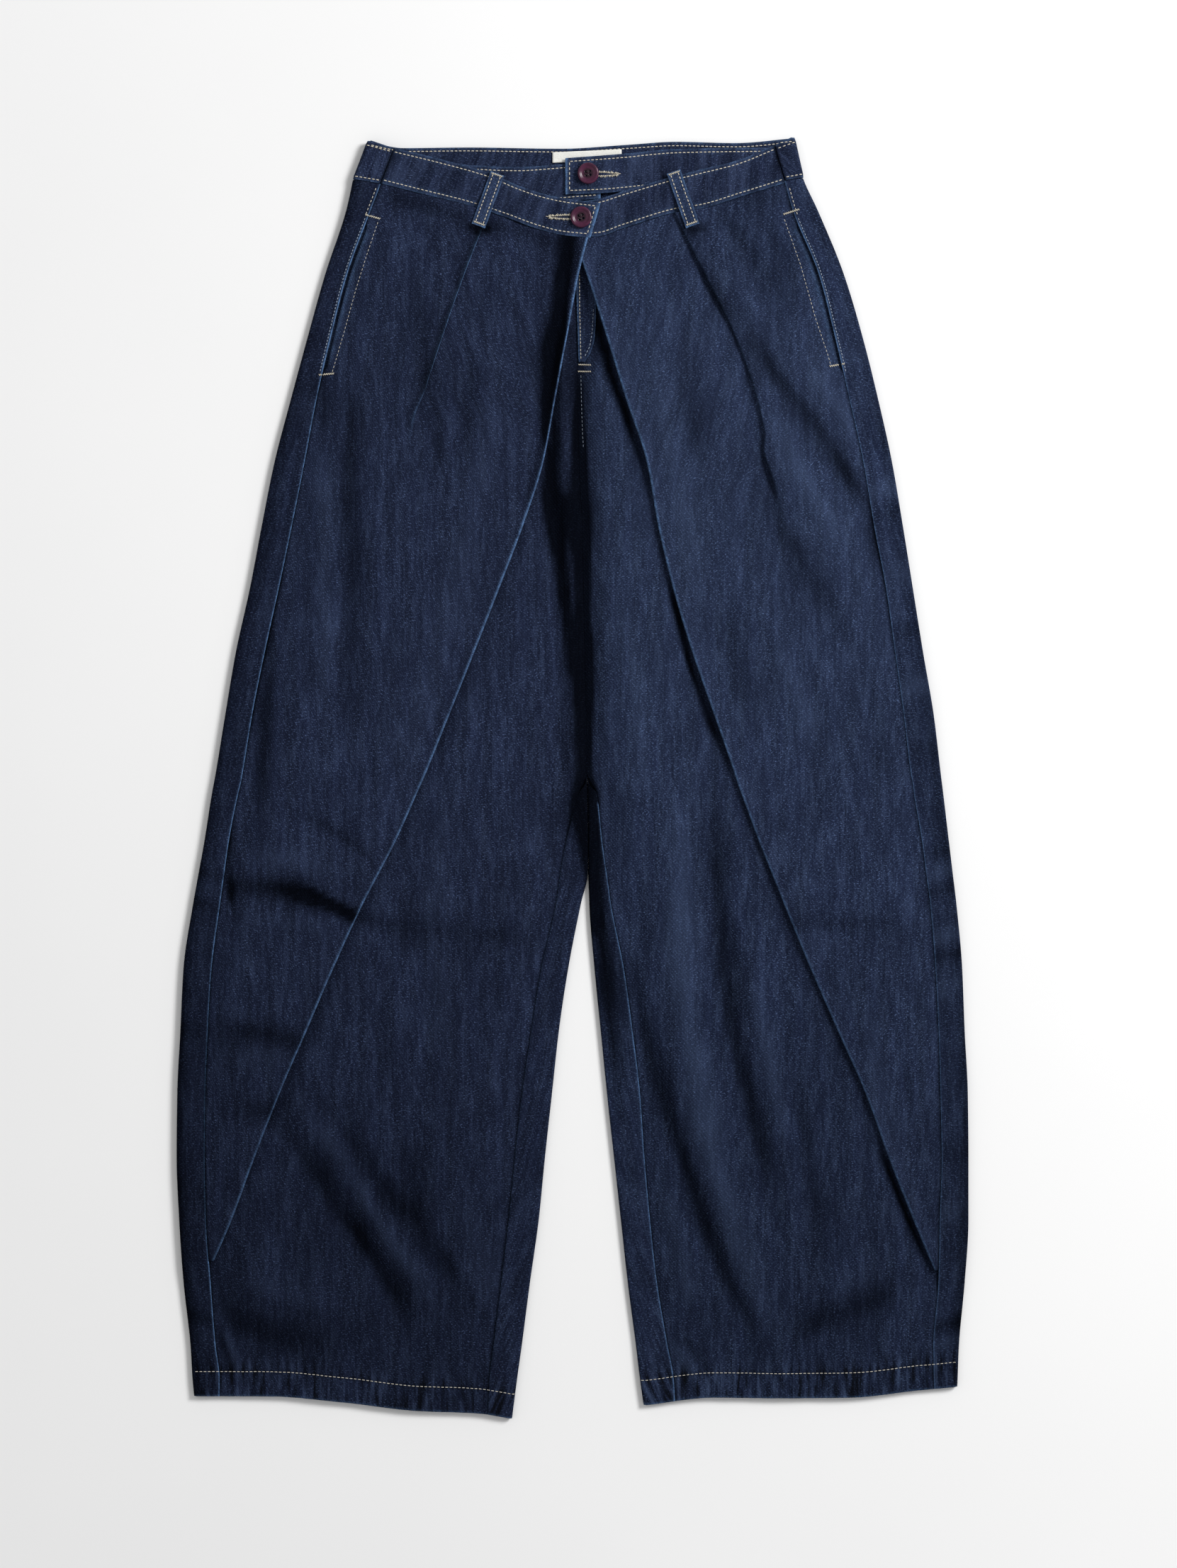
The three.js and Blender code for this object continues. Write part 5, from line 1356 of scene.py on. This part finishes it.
cream = Bundle("stitching_front", thread)
blue = Bundle("stitching_edges", thread_pale)
under = Bundle("stitching_back", thread)
fine = Bundle("stitching_fine", thread_grey)


def band_line(line, share, start, end):
    """A line along a waistband at a share of its height, with its ends cut back."""
    length = math.dist(line[0][:2], line[-1][:2])
    t = start / length + np.linspace(0, 1, 60) * (1 - (start + end) / length)
    top_x, low_x, high, low = band_tables(line, t)
    return np.stack([mix(top_x, low_x, share), mix(high(top_x), low(low_x), share)], axis=1)


# Each waistband's two rows, and the row across its free end: line, cut at start and end, that end.
TOP_LINE, LOW_LINE = 0.10, 0.90
bands = {}
for name, line, start, end, free in (
        ("outer_left", OUTER_LEFT, 1, 3.2, -1), ("outer_right", OUTER_RIGHT, 2, 1, None),
        ("inner_left", INNER_LEFT, 1, 3, None), ("inner_right", INNER_RIGHT, 3, 1, 0)):
    bands[name] = finder("waistband_" + name)
    for share in (TOP_LINE, LOW_LINE):
        sew(cream, band_line(line, share, start, end), bands[name])
    if free is not None:
        across = [band_line(line, s, start, end)[free] for s in np.linspace(TOP_LINE, LOW_LINE, 12)]
        sew(cream, across, bands[name])

back_top, read_back = curve(BACK_TOP, 0, 1), finder("waistband_back")
xs = np.linspace(-160, 174, 120)
sew(cream, np.stack([xs, mix(back_top(xs), waist_line(xs), 0.09)], axis=1), read_back)
for sign, seam_x, seam_y, edge_x, low_seam_x, low_edge_x in BAND_SIDES:
    for share in (TOP_LINE, LOW_LINE):
        line = []
        for t in np.linspace(0.06, 0.97, 14):
            x = mix(mix(seam_x, low_seam_x, share) + sign * BAND_GAP, mix(edge_x, low_edge_x, share), t)
            line.append((x, mix(mix(seam_y, float(back_top(edge_x)), t), float(waist_line(x)), share)))
        sew(cream, line, read_back)

# The hems, all round.
for leg in (LEFT, RIGHT):
    hem_top = leg.hem_y + HEM_DEPTH
    past = leg.sign * 1.5
    xs = np.linspace(float(leg.edge(hem_top)) - past, float(leg.inner(hem_top)) + past, 160)
    line = np.stack([xs, leg.hem(xs) + HEM_DEPTH - 0.6], axis=1)
    sew(fine, line, finder(f"front_{leg.name}", f"back_{leg.name}"), radius=0.30)
    sew(under, line[::-1], finder(f"back_{leg.name}", below=True), radius=0.18, below=True)

# The side pockets: topstitching on the front, small stitches on the back panel's edge, bar tacks.
POCKETS = [
    (LEFT, [(-154, 441), (-163, 414.6), (-171.5, 387.6), (-181, 353.3), (-190.5, 321.2)], 0.22,
     [((-164.2, 446.4), (-152.4, 443)), ((-201, 319.5), (-189, 320.6))]),
    (RIGHT, [(167.6, 443.3), (180.6, 406.7), (192.4, 364.5), (202.5, 334.7), (204.4, 327.5)], 0.24,
     [((167, 446.6), (179.5, 450.6)), ((203.6, 326.3), (215.6, 328.5))]),
]
for leg, line, radius, tacks in POCKETS:
    read = finder(f"front_overlay_{leg.name}", f"back_{leg.name}")
    sew(fine, line, read, 3.2, 2.0, radius)
    ys = np.linspace(444, 322, 40)
    sew(blue, upright(ys, leg.side(ys) + leg.sign * 2.0), read, 2.6, 1.6, 0.3)
    ys = np.linspace(468, 446, 10)
    sew(fine, upright(ys, leg.side(ys) + leg.sign * 2.4), read, 3.0, 2.0, 0.32)
    for start, end in tacks:
        bar_tack(cream, start, end, read)

# The fly: its straight edge, the curved line, the seam below it, and two bar tacks.
read_fly = finder("fly_placket", "front_left", "front_right")
ys = np.linspace(452, 332, 60)
sew(fine, upright(ys, np.interp(ys, [332, 350, 372, 452], [6.6, 6.2, 5.6, 5.2])), read_fly, 2.9, 2.0, 0.3)
sew(blue, [(16.6, 372), (15.6, 354), (13.6, 342), (9.6, 334)], read_fly, 2.9, 2.0, 0.26)
sew(blue, [(6.6, 320), (7.0, 300), (7.8, 276), (8.6, 262)], read_fly, 3.1, 2.0, 0.13)
bar_tack(cream, (4.6, 328.0), (14.6, 327.4), read_fly, 1.2)
bar_tack(cream, (4.2, 322.6), (14.6, 322.2), read_fly, 1.2)

# The belt loops: two rows and a bar tack at each end, and two rows on each loop at the back.
for side, top, low in FRONT_LOOPS:
    read = finder(f"belt_loop_front_{side}")
    top, low = np.array(top), np.array(low)
    way = (low - top) / math.dist(top, low)
    across = np.array([-way[1], way[0]])
    line = mix(top, low, np.linspace(0.03, 0.95, 30)[:, None])
    for shift in (3.1, -3.1):
        sew(cream, line + across * shift, read, 3.0, 2.1, 0.36)
    for t in (0.025, 0.955):
        bar_tack(cream, mix(top, low, t) - across * 4.6, mix(top, low, t) + across * 4.6, read, 1.5)
for side, x in BACK_LOOPS:
    read = finder(f"belt_loop_back_{side}", below=True)
    for shift in (-3.1, 3.1):
        line = [(x + shift, WAIST_LINE + 25.5), (x + shift, WAIST_LINE + 2.5)]
        sew(under, line, read, 3.0, 2.1, 0.18, below=True)


def buttonhole(start, length, read, way):
    """A worked buttonhole: uneven stitches on both sides of a slit that narrows to a small bar."""
    pitch = 0.85
    for k in range(int(length / pitch)):
        s = (k + 0.5) * pitch
        open_ = smooth(0, length * 0.8, length - s)
        for up in (-1, 1):
            ragged = 0.35 * math.sin(k * 2.9 + up) + 0.2 * math.sin(k * 5.3)
            inner_y = start[1] + up * (0.15 + 0.75 * open_)
            outer_y = inner_y + up * (1.55 + ragged)
            places = []
            for t in (0, 0.5, 1):
                x = start[0] + way * (s + (0.5 * math.sin(k * 1.7 + up) + 0.3) * t)
                arch = (0.5 + 0.2 * math.sin(k * 3.7)) * math.sin(math.pi * t)
                places.append((x, mix(inner_y, outer_y, t), 0.15 + arch))
            cream.lay(read, places, 0.44, 5)
    tip = start[0] + way * length
    bar_tack(cream, (tip - way * 0.5, start[1] - 1.2), (tip + way * 0.4, start[1] + 1.4), read, 2.4)
    sew(cream, [(tip, start[1]), (tip + way * 3.0, start[1] + 0.6)], read, 3.0, 2.6, 0.25)


buttonhole((20.4, 478.3), 15.0, bands["inner_right"], 1)
buttonhole((-1.4, 443.8), 17.0, bands["outer_left"], -1)
for bundle in (cream, fine, blue, under):
    bundle.build()


# Buttons

def lathed(name, outline):
    """A mesh turned round the upright axis, from radii and heights that start and end at radius 0."""
    work = bmesh.new()
    angles = [2 * math.pi * k / BUTTON_FACETS for k in range(BUTTON_FACETS)]
    rings = []
    for r, h in outline:
        spots = [(r * math.cos(a) * MM, r * math.sin(a) * MM, h * MM) for a in (angles if r else [0])]
        rings.append([work.verts.new(spot) for spot in spots])
    for low, high in zip(rings, rings[1:]):
        for k in range(BUTTON_FACETS):
            j = (k + 1) % BUTTON_FACETS
            if len(low) == 1:
                work.faces.new((low[0], high[j], high[k]))
            elif len(high) == 1:
                work.faces.new((low[k], low[j], high[0]))
            else:
                work.faces.new((low[k], low[j], high[j], high[k]))
    bmesh.ops.recalc_face_normals(work, faces=work.faces)
    mesh = bpy.data.meshes.new(name)
    work.to_mesh(mesh)
    work.free()
    return mesh


def drilled(mesh, turned):
    """A copy of the button's mesh with its four holes cut."""
    blank = bpy.data.objects.new("blank", mesh)
    bpy.context.collection.objects.link(blank)
    cutters = []
    for k in range(4):
        angle = math.radians(45 + 90 * k) + turned
        bpy.ops.mesh.primitive_cylinder_add(
            vertices=24, radius=HOLE_RADIUS * MM, depth=6 * MM,
            location=(HOLE_REACH * MM * math.cos(angle), HOLE_REACH * MM * math.sin(angle), 0))
        cutters.append(bpy.context.object)
        cut = blank.modifiers.new("hole", "BOOLEAN")
        cut.operation = "DIFFERENCE"
        cut.object = cutters[-1]
        cut.solver = "EXACT"
    bpy.context.view_layer.update()
    made = bpy.data.meshes.new_from_object(blank.evaluated_get(bpy.context.evaluated_depsgraph_get()))
    for spent in [blank] + cutters:
        bpy.data.objects.remove(spent, do_unlink=True)
    return made


def button(name, x, y, floor, turned):
    mesh = drilled(lathed(name, BUTTON_OUTLINE), turned)
    mesh.name = name
    mesh.transform(Matrix.Translation(Vector((x, y, floor + BUTTON_HALF)) * MM))
    mesh.polygons.foreach_set("use_smooth", np.ones(len(mesh.polygons), bool))
    # Painted shade in the dish: the middle of the button is marked darker by a vertex colour.
    dish = mesh.color_attributes.new(name="dish", type="FLOAT_COLOR", domain="POINT")
    for k, vertex in enumerate(mesh.vertices):
        depth = float(smooth(4.9, 3.0, math.hypot(vertex.co.x / MM - x, vertex.co.y / MM - y)))
        dish.data[k].color = (depth, depth, depth, 1)
    mesh.materials.clear()
    return place(name, mesh, resin.material)


sewn = Bundle("button_threads", thread_dark)
for name, x, y, read, turned in (("button_upper", 12.4, 478.7, bands["inner_right"], 0.15),
                                 ("button_lower", 6.8, 443.6, bands["outer_left"], 0.3)):
    floor = max(read(x + dx, y + dy) or 0 for dx in (-6, 0, 6) for dy in (-6, 0, 6)) + 0.25
    made = button(name + "_resin", x, y, floor, turned)
    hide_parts(name)
    level = floor + BUTTON_HALF + 0.28
    for up in (-1, 1):
        start, end = ((x + HOLE_REACH * math.cos(a), y + up * HOLE_REACH * math.sin(a))
                      for a in (math.radians(45) + turned, math.radians(135) + turned))
        sewn.strand([(mix(start[0], end[0], t), mix(start[1], end[1], t), level + over)
                     for t, over in ((0, -1.4), (0.12, 0), (0.5, 0.15), (0.88, 0), (1, -1.4))], 0.42)
sewn.build()


# Floor, light and camera

bpy.ops.mesh.primitive_plane_add(size=14, location=(0, 0, -0.0003))
ground = bpy.context.object
ground.name = "floor"
paper = Look("floor_paper", 0.7, 0.2)
paper_grain = paper.noise(paper.node("ShaderNodeTexCoord").outputs["Object"], (3, 3, 3), rough=0.5)
paper.colour(paper.blend(paper_grain, (0.84, 0.84, 0.84), (0.88, 0.88, 0.88)))
ground.data.materials.append(paper.material)
ground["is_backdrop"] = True


def lamp(name, spot, aim, size, power):
    data = bpy.data.lights.new(name, "AREA")
    data.shape = "RECTANGLE"
    data.size, data.size_y = size
    data.energy = power
    made = bpy.data.objects.new(name, data)
    made.location = spot
    made.rotation_euler = (Vector(aim) - Vector(spot)).to_track_quat("-Z", "Y").to_euler()
    bpy.context.collection.objects.link(made)


lamp("key", (2.75, 1.65, 2.55), (0.05, 0.0, 0), (1.5, 1.2), 166)
lamp("fill", (-1.6, 0.4, 2.6), (0, 0, 0), (2.4, 2.4), 6)
world = bpy.data.worlds.new("studio")
world.use_nodes = True
background = world.node_tree.nodes["Background"].inputs
background["Color"].default_value = (1, 1, 1, 1)
background["Strength"].default_value = 0.44
bpy.context.scene.world = world
bpy.context.scene.view_settings.view_transform = "Standard"

camera_data = bpy.data.cameras.new("camera")
camera_data.lens = LENS
camera = bpy.data.objects.new("camera", camera_data)
camera.location = (0.01266, -0.0045, VIEW_HEIGHT * LENS / camera_data.sensor_width)
bpy.context.collection.objects.link(camera)
bpy.context.scene.camera = camera

low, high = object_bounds()
